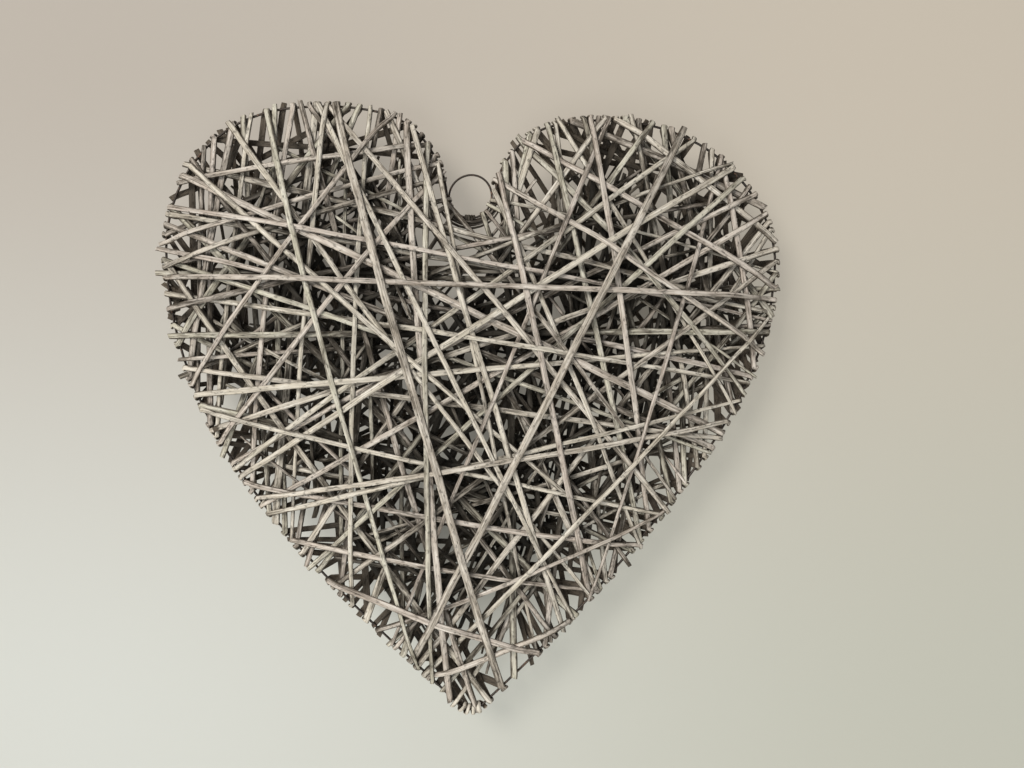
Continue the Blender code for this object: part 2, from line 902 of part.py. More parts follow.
def tie_points():
    """Points of the binding: an oval coil round the ring's underside and the notch's wire."""
    inner = ring_path_radius() - RING_WIRE_DIAMETER / 2
    outer = notch_radius() + half_wire()
    middle = (inner + outer) / 2
    room = TIE_DIAMETER / 2 + 2 * FIT_CLEARANCE
    tall = (outer - inner) / 2 + room
    deep = WIRE_DIAMETER / 2 + room
    points = []
    count = round(TIE_TURNS * TIE_POINTS_PER_TURN)
    for index in range(count + 1):
        turn = 2 * math.pi * index / TIE_POINTS_PER_TURN
        travel = TIE_PITCH * (index - count / 2) / TIE_POINTS_PER_TURN
        angle = travel / middle
        radius = middle + tall * signed_power(math.cos(turn), TIE_TALL_POWER)
        depth = deep * signed_power(math.sin(turn), TIE_DEEP_POWER)
        points.append(Vector((radius * math.sin(angle), depth,
                              ring_centre_z() - radius * math.cos(angle))))
    return points


def add_ring_tie(material, collection):
    """The thin binding that holds the ring in the notch."""
    curve = wire_curve("ring_tie", tie_points(), TIE_DIAMETER, closed=False)
    return add_object("ring_tie", curve, material, collection)


def main():
    """Build the heart."""
    for item in list(bpy.data.objects):
        bpy.data.objects.remove(item)
    collection = bpy.data.collections.new("wicker_heart")
    bpy.context.scene.collection.children.link(collection)
    steel = make_material("dark_steel_wire", (0.055, 0.048, 0.042), 0.55, 0.8)
    binding = make_material("cane_binding", (0.16, 0.12, 0.10), 0.8)
    cane_finish = make_material("grey_washed_cane", (0.50, 0.47, 0.41), 0.85)
    outline = Outline(wire_points())
    winding = Winding(Rim(outline), planned_courses())
    add_frame_wire(outline, steel, collection)
    add_hanging_ring(steel, collection)
    add_ring_tie(binding, collection)
    for index, cane in enumerate(winding.canes, start=1):
        name = f"cane_{index:02d}"
        add_object(name, CaneMesh(cane).build(name), cane_finish, collection)


if __name__ == "__main__":
    main()
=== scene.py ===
"""Dresses the wicker heart: split willow canes under a grey wash, on a bent wire with a ring."""
import logging
import math
import random
from dataclasses import dataclass, field
from enum import Enum
from typing import ClassVar

import bpy
import numpy as np
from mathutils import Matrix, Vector, kdtree, noise


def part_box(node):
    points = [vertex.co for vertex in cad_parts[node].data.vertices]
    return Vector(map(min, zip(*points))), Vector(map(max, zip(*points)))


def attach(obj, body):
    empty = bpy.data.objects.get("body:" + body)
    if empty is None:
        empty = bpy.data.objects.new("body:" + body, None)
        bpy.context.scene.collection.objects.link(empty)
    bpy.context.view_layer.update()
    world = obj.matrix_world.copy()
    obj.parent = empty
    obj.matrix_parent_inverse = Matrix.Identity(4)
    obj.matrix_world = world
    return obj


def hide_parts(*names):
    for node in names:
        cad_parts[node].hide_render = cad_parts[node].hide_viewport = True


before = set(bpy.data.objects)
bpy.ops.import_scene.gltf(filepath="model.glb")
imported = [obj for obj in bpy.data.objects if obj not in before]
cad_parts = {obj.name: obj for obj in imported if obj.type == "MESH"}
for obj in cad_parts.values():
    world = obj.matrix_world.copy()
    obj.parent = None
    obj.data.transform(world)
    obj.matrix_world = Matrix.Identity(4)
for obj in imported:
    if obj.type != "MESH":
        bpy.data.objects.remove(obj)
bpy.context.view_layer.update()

BODY = "root"
GRAIN = "cane_grain"  # metres along, across and through a cane
WASH_AND_SHADE = "cane_wash_and_shade"  # how far a surface faces out, how deep it is buried (which keeps the wash off and paints shade on the bare wood), and the cane's tone
WIRE_SIDE = 0.0016  # longest side of the construction wire's section
FRONT_LIMIT = 0.001  # what lies further back than this is washed from the wall's side
Rgb = tuple[float, float, float]
Triple = tuple[float, float, float]  # a place in metres, or a value for each axis
Range = tuple[float, float]
MILLIMETRES = 1000.0  # in a metre
CENTIMETRES = 100.0

log = logging.getLogger("wicker_heart")


class Tone(Enum):
    """Tint of a cane's wash, as the value that its surface carries."""

    WARM = 0.0
    ROSY = 0.5
    MOSSY = 1.0


class Trait(Enum):
    """What varies by chance along a cane, as the number of its noise."""

    WIDTH = 1
    LINE = 2
    ROLL = 3
    CROWN = 4
    CUT = 5


def middle_of(corners: list[Vector]) -> Vector:
    """Mean of some points."""
    return sum(corners, Vector()) / len(corners)


def flattened(place: Vector) -> Vector:
    """The place, moved square into the heart's plane."""
    return Vector((place.x, 0.0, place.z))


def add_object(name: str, data: bpy.types.ID) -> bpy.types.Object:
    """Put a new object into the scene.

    Args:
        name: its name.
        data: its mesh, light or camera.

    Returns:
        The object.
    """
    made = bpy.data.objects.new(name, data)
    bpy.context.scene.collection.objects.link(made)
    return made


class SolidReader:
    """Corners and links of a construction solid, read from its node."""

    snap: float = 1e5  # corners that agree to a hundredth of a millimetre are one
    strip_corners: int = 4  # of a strip's section

    def __init__(self, node: str) -> None:
        """Read the node's mesh, with its doubled corners as one.

        Args:
            node: name of the construction node.
        """
        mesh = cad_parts[node].data
        places: dict[tuple[int, ...], int] = {}
        self.corners: list[Vector] = []
        numbers: list[int] = []
        for vertex in mesh.vertices:
            key = tuple(round(value * self.snap) for value in vertex.co)
            if key not in places:
                places[key] = len(self.corners)
                self.corners.append(vertex.co.copy())
            numbers.append(places[key])
        self.links: list[set[int]] = [set() for _ in self.corners]
        for edge in mesh.edges:
            first, second = (numbers[index] for index in edge.vertices)
            if first != second:
                self.links[first].add(second)
                self.links[second].add(first)

    def around(self, group: set[int]) -> set[int]:
        """Corners that touch a group of corners from outside.

        Args:
            group: numbers of the corners.

        Returns:
            Numbers of their neighbours.
        """
        return set().union(*(self.links[corner] for corner in group)) - group

    def layers(self, start: set[int]) -> list[list[int]]:
        """Corners in the order in which they are reached from some of them.

        Args:
            start: numbers of the first layer's corners.

        Returns:
            Numbers of each layer's corners.
        """
        layer = start
        seen = set(start)
        found = []
        while layer:
            found.append(sorted(layer))
            layer = self.around(layer) - seen
            seen |= layer
        return found

    def strip_middles(self) -> list[Vector]:
        """Find the middles of a strip's sections.

        Returns:
            The middles, from one cut end to the other.
        """
        far = self.layers({0})[-1][0]
        near = sorted(range(len(self.corners)),
                      key=lambda i: (self.corners[i] - self.corners[far]).length)
        start = set(near[:self.strip_corners])
        return [middle_of([self.corners[i] for i in layer]) for layer in self.layers(start)]

    def strip_width(self) -> float:
        """Measure a strip at its cut end.

        Returns:
            The width: the nearest corner there is a thickness away, and the next one a width.
        """
        far = self.layers({0})[-1][0]
        sides = sorted((corner - self.corners[far]).length for corner in self.corners)
        return sides[2]

    def loop_middles(self, longest_side: float) -> list[Vector]:
        """Middles of a closed round wire's sections, in order.

        Args:
            longest_side: corners linked by a side up to this long belong to one section.

        Returns:
            The middles.
        """
        section = [-1] * len(self.corners)
        members: list[set[int]] = []
        for corner in range(len(self.corners)):
            if section[corner] >= 0:
                continue
            group = {corner}
            waiting = [corner]
            while waiting:
                here = waiting.pop()
                for other in self.links[here] - group:
                    if (self.corners[here] - self.corners[other]).length <= longest_side:
                        group.add(other)
                        waiting.append(other)
            for member in group:
                section[member] = len(members)
            members.append(group)
        order = [0]
        while True:
            ahead = sorted({section[other] for other in self.around(members[order[-1]])} - set(order))
            if not ahead:
                break
            order.append(ahead[0])
        return [middle_of([self.corners[i] for i in members[number]]) for number in order]


@dataclass
class Station:
    """A place along a cane's smooth middle line, with its directions there."""

    place: Vector
    travel: Vector
    lateral: Vector
    bend: float  # 1 where the cane turns round the wire
    along: float = 0.0
    # depth under other canes: keeps the wash off and paints shade on the bare wood
    buried: float = 0.0
    edge: float = 0.0  # 1 at the heart wire, 0 well inside

    @property
    def outward(self) -> Vector:
        """Direction square to the cane that faces away from the heart's inside."""
        return self.lateral.cross(self.travel).normalized()


@dataclass(frozen=True)
class Hold:
    """A place where a strip passes over the heart wire."""

    place: Vector  # on the wire's middle line, in the heart's plane
    out: Vector  # away from the heart, square to the wire

    @property
    def along(self) -> Vector:
        """Direction along the wire."""
        return Vector((-self.out.z, 0.0, self.out.x))


@dataclass
class Span:
    """One straight run of a strip over a face, from the wire to the wire."""

    side: int  # -1 on the front, 1 on the back
    holds: tuple[Hold, Hold]
    profile: list[tuple[float, float]]  # share of the run, and distance from the heart's plane
    close_set: bool = False  # whether the profile's points are close enough to need no rounding
    least_outward: ClassVar[float] = 0.35  # a run that meets the wire flatter counts as this steep

    @property
    def travel(self) -> Vector:
        """Direction of the run, flat in the heart's plane."""
        return (self.holds[1].place - self.holds[0].place).normalized()

    @property
    def lateral(self) -> Vector:
        """Direction across the strip."""
        return self.travel.cross(Vector((0.0, float(self.side), 0.0)))

    def slip(self, end: int) -> float:
        """Tell how fast the run moves along the wire where it meets it.

        Args:
            end: 0 for the run's start and 1 for its end.

        Returns:
            Distance along the wire for each step outward.
        """
        hold = self.holds[end]
        outward = self.travel if end else -self.travel
        return outward.dot(hold.along) / max(outward.dot(hold.out), self.least_outward)

    def points(self) -> list[Vector]:
        """Lay out the corners of the run's line.

        Returns:
            The corners, from wire to wire.
        """
        start, end = (hold.place for hold in self.holds)
        return [start.lerp(end, share) + Vector((0.0, self.side * height, 0.0))
                for share, height in self.profile]


@dataclass(kw_only=True)
class Line:
    """The line that a strip of willow follows, as stations."""

    width: float
    seed: float
    stations: list[Station] = field(default_factory=list)

    def measure(self) -> None:
        """Note how far along the line each station is."""
        for before, after in zip(self.stations, self.stations[1:]):
            after.along = before.along + (after.place - before.place).length


@dataclass(kw_only=True)
class Route(Line):
    """A line with straight runs over the faces and turns round the wire."""

    spans: list[Span]
    step: float = 0.0065
    bend_reach: float = 0.020
    turn_radius: float = 0.0026
    most_drift: float = 0.0020
    turn_steps: int = 9
    bow: float = 0.007  # most that a run bows sideways, as a share of its length
    tuck: float = 0.0  # length of the ends that are turned in behind the wire, 0 for cut ends
    overhang: float = 0.0  # how much further than usual the first end stands out past the wire
    end_stand: float = 0.0052  # usual distance of a cut end past the wire
    end_spread: float = 0.0040  # about the most that chance adds to it or takes off
    end_lean: float = 0.0003  # of a cut end, toward the heart's plane
    bend_share: float = 0.46  # most of a stretch that the rounding of a bend takes up
    fewest_bend_steps: int = 3
    turn_size: float = 1.1  # usual size of a turn round the wire, over turn_radius
    loop_size: float = 1.15  # and of an end that is turned in
    turn_spread: float = 0.25  # about the most that chance adds to either or takes off
    seed_step: float = 5.71  # how far apart strips and channels read the noise
    channel_step: float = 3.37
    noise_gain: float = 1.6  # brings the noise to about -1 to 1
    channels_per_metre: float = 400.0  # along the heart, for what varies from turn to turn
    end_channel: float = 8.0
    bow_channel: float = 20.0

    def __post_init__(self) -> None:
        """Lay out the stations."""
        self.add_end(self.spans[0], 0)
        for number, span in enumerate(self.spans):
            first = len(self.stations)
            self.add_run(span)
            self.bow_run(self.stations[first:], number)
            if number + 1 < len(self.spans):
                self.add_turn(span, self.spans[number + 1])
        self.add_end(self.spans[-1], 1)
        self.measure()

    def random_at(self, channel: float) -> float:
        """Random value from -1 to 1 for this strip."""
        spot = Vector((self.seed * self.seed_step, channel * self.channel_step, 0.5))
        return noise.noise(spot) * self.noise_gain

    def add_end(self, span: Span, end: int) -> None:
        """Let the strip's cut end stand a little past the wire.

        Args:
            span: the first or the last run.
            end: 0 for its start and 1 for its end.
        """
        point = span.points()[-end]
        outward = span.travel if end else -span.travel
        if self.tuck:
            loop = self.end_loop(span, point, outward, 1 if end else -1)
            self.stations += loop if end else loop[::-1]
            return
        reach = self.end_stand + self.end_spread * self.random_at(end + self.end_channel)
        reach += 0.0 if end else self.overhang
        tip = point + outward * reach - Vector((0.0, span.side * self.end_lean, 0.0))
        self.stations.append(Station(tip, span.travel, span.lateral, 0.5))

    def end_loop(self, span: Span, point: Vector, outward: Vector, sense: int) -> list[Station]:
        """Stations of an end that is turned round the wire and in behind it.

        Args:
            span: the run that it belongs to.
            point: where the run meets the wire.
            outward: direction in which the run leaves the heart.
            sense: 1 where the strip travels outward, -1 where it travels inward.

        Returns:
            The stations, from the run to the cut end.
        """
        face = Vector((0.0, float(span.side), 0.0))
        chance = self.random_at(point.x * self.channels_per_metre)
        radius = self.turn_radius * (self.loop_size + self.turn_spread * chance)
        found = []
        for count in range(1, self.turn_steps + 1):
            angle = math.pi * count / self.turn_steps
            place = Vector((point.x, point.y * math.cos(angle), point.z))
            place += outward * radius * math.sin(angle)
            travel = outward * math.cos(angle) - face * math.sin(angle)
            found.append(Station(place, travel * sense, span.lateral, 1.0))
        for share in (0.5, 1.0):
            place = Vector((point.x, -point.y, point.z)) - outward * self.tuck * share
            found.append(Station(place, outward * -sense, span.lateral, 0.5))
        return found

    def add_run(self, span: Span) -> None:
        """Lay stations along a run and round its bends.

        Args:
            span: the run.
        """
        points = span.points()
        if span.close_set:
            self.add_points(points, span.lateral)
            return
        lengths = [(ahead - here).length for here, ahead in zip(points, points[1:])]
        reaches = [0.0]
        for before, after in zip(lengths, lengths[1:]):
            reaches.append(min(self.bend_reach, self.bend_share * min(before, after)))
        reaches.append(0.0)
        for index, length in enumerate(lengths):
            start, end = points[index], points[index + 1]
            travel = (end - start) / length
            flat = length - reaches[index] - reaches[index + 1]
            steps = max(1, math.ceil(flat / self.step))
            for count in range(steps + 1):
                place = start + travel * (reaches[index] + flat * count / steps)
                self.stations.append(Station(place, travel, span.lateral, 0.0))
            if index + 1 < len(lengths):
                self.round_bend(points[index:index + 3], span.lateral, reaches[index + 1])

    def bow_run(self, stations: list[Station], number: int) -> None:
        """Bend a straight run into a slight arc, which keeps its ends.

        Args:
            stations: of the run.
            number: of the run.
        """
        start, line = stations[0].place.copy(), stations[-1].place - stations[0].place
        most = self.bow * self.random_at(number + self.bow_channel) * line.length
        for station in stations:
            share = (station.place - start).dot(line) / line.length_squared
            station.place = station.place + station.lateral * (most * math.sin(math.pi * share))

    def add_points(self, points: list[Vector], lateral: Vector) -> None:
        """Lay a station at each of a run's points.

        Args:
            points: close-set points.
            lateral: direction across the strip.
        """
        last = len(points) - 1
        for index, point in enumerate(points):
            travel = (points[min(index + 1, last)] - points[max(index - 1, 0)]).normalized()
            self.stations.append(Station(point, travel, lateral, 0.0))

    def round_bend(self, points: list[Vector], lateral: Vector, reach: float) -> None:
        """Lay stations round one bend of a run.

        Args:
            points: the corner before, the bend and the corner after.
            lateral: direction across the strip.
            reach: how far the rounding reaches.
        """
        before = (points[1] - points[0]).normalized()
        after = (points[2] - points[1]).normalized()
        steps = max(self.fewest_bend_steps, round(2 * reach / self.step))
        for count in range(1, steps):
            share = count / steps
            start = points[1] - before * reach * (1 - share)
            end = points[1] + after * reach * share
            travel = before.lerp(after, share).normalized()
            self.stations.append(Station(start.lerp(end, share), travel, lateral, 0.0))

    def add_turn(self, span: Span, following: Span) -> None:
        """Lay stations round the wire, from a run on one face to the next on the other.

        Args:
            span: the run before the turn.
            following: the run after it.
        """
        hold = span.holds[1]
        start, end = span.points()[-1], following.points()[0]
        drift = self.turn_radius * (span.slip(1) - following.slip(0))
        drift = min(max(drift, -self.most_drift), self.most_drift)
        chance = self.random_at(hold.place.x * self.channels_per_metre)
        radius = self.turn_radius * (self.turn_size + self.turn_spread * chance)
        for count in range(1, self.turn_steps):
            angle = math.pi * count / self.turn_steps
            depth = start.y if angle < math.pi / 2 else end.y
            place = flattened(hold.place)
            place += hold.out * (radius * math.sin(angle))
            place += hold.along * (drift * math.sin(angle) * -math.cos(angle))
            place.y = abs(math.cos(angle)) * depth
            share = count / self.turn_steps
            middle = hold.along if hold.along.dot(span.lateral) > 0 else -hold.along
            if share < 0.5:
                lateral = span.lateral.lerp(middle, 2 * share)
            else:
                lateral = middle.lerp(following.lateral, 2 * share - 1)
            travel = hold.out * math.cos(angle) + Vector((0.0, -span.side * math.sin(angle), 0.0))
            travel += hold.along * (drift / self.turn_radius * 0.5)
            travel.normalize()
            lateral = (lateral - travel * lateral.dot(travel)).normalized()
            self.stations.append(Station(place, travel, lateral, 1.0))


@dataclass(kw_only=True)
class SolidSpans:
    """Reads a cane's runs from its construction solid, and draws each straight from wire to wire."""

    node: str
    turn_reach: float = 0.0042  # the solid's turns and ends, past the wire's middle line
    end_reach: float = 0.0060
    upright: float = 0.0005  # a stretch shorter than this in the heart's plane goes round the wire
    nearest_share: float = 0.001  # least share of a run between two of its points
    width: float = 0.0
    spans: list[Span] = field(default_factory=list)

    def __post_init__(self) -> None:
        """Read the solid's runs."""
        reader = SolidReader(self.node)
        self.width = reader.strip_width()
        points = reader.strip_middles()
        flat = [flattened(point) for point in points]
        turns = [index for index in range(len(flat) - 1)
                 if (flat[index + 1] - flat[index]).length < self.upright]
        first, reach = 0, self.end_reach
        for last in turns + [len(points) - 1]:
            last_reach = self.turn_reach if last in turns else self.end_reach
            self.spans.append(self.span(points[first:last + 1], reach, last_reach))
            first, reach = last + 1, self.turn_reach

    def span(self, points: list[Vector], first_reach: float, last_reach: float) -> Span:
        """One run of the cane.

        Args:
            points: the run's corners, with the outer corners past the wire at both ends.
            first_reach: how far past the wire the first corner is.
            last_reach: how far past the wire the last corner is.

        Returns:
            The run.
        """
        flat = [flattened(point) for point in points]
        heights = [abs(point.y) for point in points]
        holds = []
        ends = []
        for tip, corner, reach in ((0, 1, first_reach), (-1, -2, last_reach)):
            leg = flat[tip] - flat[corner]
            out = leg.normalized()
            holds.append(Hold(flat[tip] - out * reach, out))
            ends.append(heights[tip] + (heights[corner] - heights[tip]) * reach / leg.length)
        line = holds[1].place - holds[0].place
        profile = [(0.0, ends[0])]
        for spot, height in zip(flat[1:-1], heights[1:-1]):
            share = (spot - holds[0].place).dot(line) / line.length_squared
            if profile[-1][0] + self.nearest_share < share < 1 - self.nearest_share:
                profile.append((share, height))
        profile.append((1.0, ends[1]))
        side = -1 if points[len(points) // 2].y < 0 else 1
        return Span(side, (holds[0], holds[1]), profile)


class Rim:
    """The heart wire's middle line."""

    probe: float = 0.002  # step off the wire that tells its inside from its outside

    def __init__(self, centres: list[Vector]) -> None:
        """Measure the wire.

        Args:
            centres: points of its middle line, in order.
        """
        self.spots = [flattened(centre) for centre in centres]
        self.arcs = [0.0]
        for here, ahead in zip(self.spots, self.spots[1:] + self.spots[:1]):
            self.arcs.append(self.arcs[-1] + (ahead - here).length)
        self.tree = kdtree.KDTree(len(self.spots))
        for index, spot in enumerate(self.spots):
            self.tree.insert(spot, index)
        self.tree.balance()

    def nearness(self, place: Vector, reach: float) -> float:
        """Tell how near the wire a place is.

        Args:
            place: the place.
            reach: distance from the wire at which the result is 0.

        Returns:
            From 0 to 1, which it is at the wire.
        """
        distance = self.tree.find(flattened(place))[2]
        return max(0.0, 1 - distance / reach)

    def arc_of(self, place: Vector) -> float:
        """Find the point of the wire that is nearest to a place.

        Args:
            place: the place.

        Returns:
            Distance of that point along the wire.
        """
        best = (math.inf, 0.0)
        count = len(self.spots)
        for index, spot in enumerate(self.spots):
            line = self.spots[(index + 1) % count] - spot
            share = min(max((place - spot).dot(line) / line.length_squared, 0.0), 1.0)
            gap = (spot + line * share - place).length
            best = min(best, (gap, self.arcs[index] + line.length * share))
        return best[1]

    def hold_at(self, arc: float) -> Hold:
        """The hold at a distance along the wire.

        Args:
            arc: the distance.

        Returns:
            Its place, and the direction away from the heart there.
        """
        arc %= self.arcs[-1]
        index = max(number for number, start in enumerate(self.arcs[:-1]) if start <= arc)
        spot = self.spots[index]
        line = (self.spots[(index + 1) % len(self.spots)] - spot).normalized()
        place = spot + line * (arc - self.arcs[index])
        out = Vector((line.z, 0.0, -line.x))
        if self.encloses(place + out * self.probe):
            out = -out
        return Hold(place, out)

    def encloses(self, place: Vector) -> bool:
        """Tell whether a place lies inside the heart.

        Args:
            place: in the heart's plane.

        Returns:
            True if it does.
        """
        inside = False
        for here, ahead in zip(self.spots, self.spots[1:] + self.spots[:1]):
            if (here.z > place.z) != (ahead.z > place.z):
                cross = here.x + (place.z - here.z) / (ahead.z - here.z) * (ahead.x - here.x)
                inside ^= place.x < cross
        return inside


class MatSpace:
    """Which depths the strips fill at each place of the heart's plane, on either face."""

    half_stretch: float = 0.0042  # half the length of strip that a station stands for

    def __init__(self, cell: float = 0.010) -> None:
        """Start with an empty space.

        Args:
            cell: side of the squares in which strips are looked up.
        """
        self.cell = cell
        self.cells: dict[tuple[int, int, int], list[tuple[Station, float, float]]] = {}

    def add(self, route: Route, thickness: float) -> None:
        """Note where a strip lies.

        Args:
            route: its route.
            thickness: of the strip.
        """
        for station in route.stations:
            if station.bend == 0:
                side = -1 if station.place.y < 0 else 1
                key = (side, round(station.place.x / self.cell), round(station.place.z / self.cell))
                self.cells.setdefault(key, []).append((station, route.width, thickness))

    def near(self, place: Vector, side: int) -> list[tuple[Station, float, float]]:
        """Find the stations of strips within about a cell of a place.

        Args:
            place: in the heart's plane.
            side: the face.

        Returns:
            Each station with its strip's width and thickness.
        """
        column, row = round(place.x / self.cell), round(place.z / self.cell)
        return [item for x in (-1, 0, 1) for z in (-1, 0, 1)
                for item in self.cells.get((side, column + x, row + z), [])]

    def filled(self, place: Vector, side: int, width: float, thickness: float) -> list[tuple[float, float]]:
        """Depths that a new strip's middle can't take at a place.

        Args:
            place: in the heart's plane.
            side: the face.
            width: of the new strip.
            thickness: of the new strip.

        Returns:
            Ranges of distance from the heart's plane.
        """
        found = []
        for station, wide, thick in self.near(place, side):
            gap = Vector((place.x - station.place.x, 0.0, place.z - station.place.z))
            overlaps = abs(gap.dot(station.lateral)) < (wide + width) / 2
            if overlaps and abs(gap.dot(station.travel)) < self.half_stretch:
                reach = (thick + thickness) / 2
                height = abs(station.place.y)
                found.append((height - reach, height + reach))
        return found

    def top(self, place: Vector, side: int) -> float:
        """Distance from the heart's plane of the outermost strip near a place."""
        return max((abs(station.place.y) for station, _, _ in self.near(place, side)), default=0.0)


@dataclass(frozen=True)
class SplitPlan:
    """Where a thin split is to lie."""

    holds: tuple[Hold, Hold]
    side: int  # -1 on the front, 1 on the back
    width: float
    height: float  # share of the mat's height
    tuck: float = 0.0  # length of its ends behind the wire, 0 for cut ends
    overhang: float = 0.0  # how much further than usual its first end stands out past the wire


@dataclass
class StrandThreader:
    """Threads thin splits between the canes, each as straight as the canes in its way allow."""

    space: MatSpace
    stride: float = 0.005  # between the places at which a split's height is chosen
    level: float = 0.0005  # between the heights that it is chosen from
    deepest: float = 0.0010
    headroom: float = 0.006  # above the highest strip in the way
    rim_height: float = 0.0038  # of a split over the wire
    straightness: float = 60.0  # cost of a slope
    pull: float = 0.02  # cost of each square millimetre off the wanted height
    block: float = 30.0  # cost of going through a strip
    steepest: float = 0.75  # most rise for each step along
    fewest_strides: int = 4
    smoothings: int = 2
    thickness: float = 0.0013

    def span(self, plan: SplitPlan) -> Span:
        """The line of least effort from one hold to another.

        Args:
            plan: where the split is to lie.

        Returns:
            The run.
        """
        start, end = (hold.place for hold in plan.holds)
        count = max(self.fewest_strides, round((end - start).length / self.stride))
        places = [start.lerp(end, index / count) for index in range(count + 1)]
        tops = [self.space.top(place, plan.side) for place in places]
        levels = np.arange(self.deepest, max(tops) + self.headroom, self.level)
        costs = []
        for place, top in zip(places, tops):
            wanted = max(top * plan.height, self.rim_height)
            cost = self.pull * ((levels - wanted) * MILLIMETRES) ** 2
            for low, high in self.space.filled(place, plan.side, plan.width, self.thickness):
                cost = cost + self.block * ((levels > low) & (levels < high))
            costs.append(cost)
        path = self.cheapest(costs, levels, (end - start).length / count)
        for _ in range(self.smoothings):
            inner = [(a + 2 * b + c) / 4 for a, b, c in zip(path, path[1:], path[2:])]
            path = [path[0], *inner, path[-1]]
        profile = [(index / count, height) for index, height in enumerate(path)]
        return Span(plan.side, plan.holds, profile, True)

    def cheapest(self, costs: list[np.ndarray], levels: np.ndarray, stride: float) -> list[float]:
        """Heights of the cheapest way through.

        Args:
            costs: cost of each level at each place.
            levels: the heights.
            stride: distance between places.

        Returns:
            The height at each place.
        """
        rim = int(np.argmin(np.abs(levels - self.rim_height)))
        most = max(1, int(self.steepest * stride / self.level))
        total = np.full(len(levels), np.inf)
        total[rim] = 0.0
        origins = []
        for cost in costs[1:]:
            best = np.full(len(levels), np.inf)
            origin = np.zeros(len(levels), dtype=int)
            for shift in range(-most, most + 1):
                moved = np.full(len(levels), np.inf)
                if shift >= 0:
                    moved[shift:] = total[:len(levels) - shift]
                else:
                    moved[:shift] = total[-shift:]
                moved = moved + self.straightness * (shift * self.level / stride) ** 2
                better = moved < best
                best[better] = moved[better]
                origin[better] = np.arange(len(levels))[better] - shift
            total = best + cost
            origins.append(origin)
        here = rim
        path = [here]
        for origin in reversed(origins):
            here = int(origin[here])
            path.append(here)
        return [float(levels[index]) for index in reversed(path)]


class BurialSurvey:
    """Finds how deep each stretch of cane lies under others, where the wash couldn't reach and where its
    bare wood gets painted shade.
    """

    edge_reach: float = 0.085  # from the wire, over which the mat is thin
    edge_relief: float = 0.60  # share by which the thin mat at the wire shields less
    turn_relief: float = 0.75  # share by which a turn round the wire is shielded less
    least_above: float = 0.001  # another cane shields a place from this far above it
    full_above: float = 0.012  # and in full from here
    contrast: float = 1.6

    def __init__(self, routes: list[Route], rim: Rim, reach: float = 0.018, weight: float = 0.23,
                 smoothing: int = 4) -> None:
        """Mark every station of every cane on the face that it lies on.

        Args:
            routes: the routes of all canes.
            rim: the heart wire.
            reach: how far to the side another cane still shields a place.
            weight: how much each one shields.
            smoothing: stations on either side over which the result is spread.
        """
        self.reach = reach
        self.weight = weight
        self.trees: dict[int, kdtree.KDTree] = {}
        self.heights: dict[int, list[tuple[float, int]]] = {-1: [], 1: []}
        places: dict[int, list[Vector]] = {-1: [], 1: []}
        for number, route in enumerate(routes):
            for station in route.stations:
                side = self.side_of(station.place)
                places[side].append(flattened(station.place))
                self.heights[side].append((abs(station.place.y), number))
        for side, spots in places.items():
            self.trees[side] = kdtree.KDTree(len(spots))
            for index, spot in enumerate(spots):
                self.trees[side].insert(spot, index)
            self.trees[side].balance()
        for number, route in enumerate(routes):
            depths = []
            for station in route.stations:
                station.edge = rim.nearness(station.place, self.edge_reach)
                relief = max(self.turn_relief * station.bend, self.edge_relief * station.edge)
                depths.append(self.depth_at(station.place, number) * (1 - relief))
            for index, station in enumerate(route.stations):
                around = depths[max(0, index - smoothing):index + smoothing + 1]
                station.buried = sum(around) / len(around)

    def side_of(self, place: Vector) -> int:
        """Face of the heart that a place is on: -1 at the front, 1 at the wall."""
        return -1 if place.y < 0 else 1

    def depth_at(self, place: Vector, number: int) -> float:
        """Weight of the other canes that lie over a place.

        Args:
            place: the place.
            number: number of the cane that it is on.

        Returns:
            0 where nothing shields it, and up to 1 deep inside.
        """
        side = self.side_of(place)
        total = 0.0
        for _, index, distance in self.trees[side].find_range(flattened(place), self.reach):
            height, other = self.heights[side][index]
            above = height - abs(place.y)
            if other != number and above > self.least_above:
                total += (1 - distance / self.reach) * min(above / self.full_above, 1.0)
        return (1 - math.exp(-total * self.weight)) ** self.contrast


@dataclass(frozen=True)
class NoiseField:
    """A noise over a surface: how fine it is along each axis, where it starts, and its finer layers."""

    scale: Triple
    shift: Triple = (0.0, 0.0, 0.0)
    detail: float = 2.0
    roughness: float = 0.5


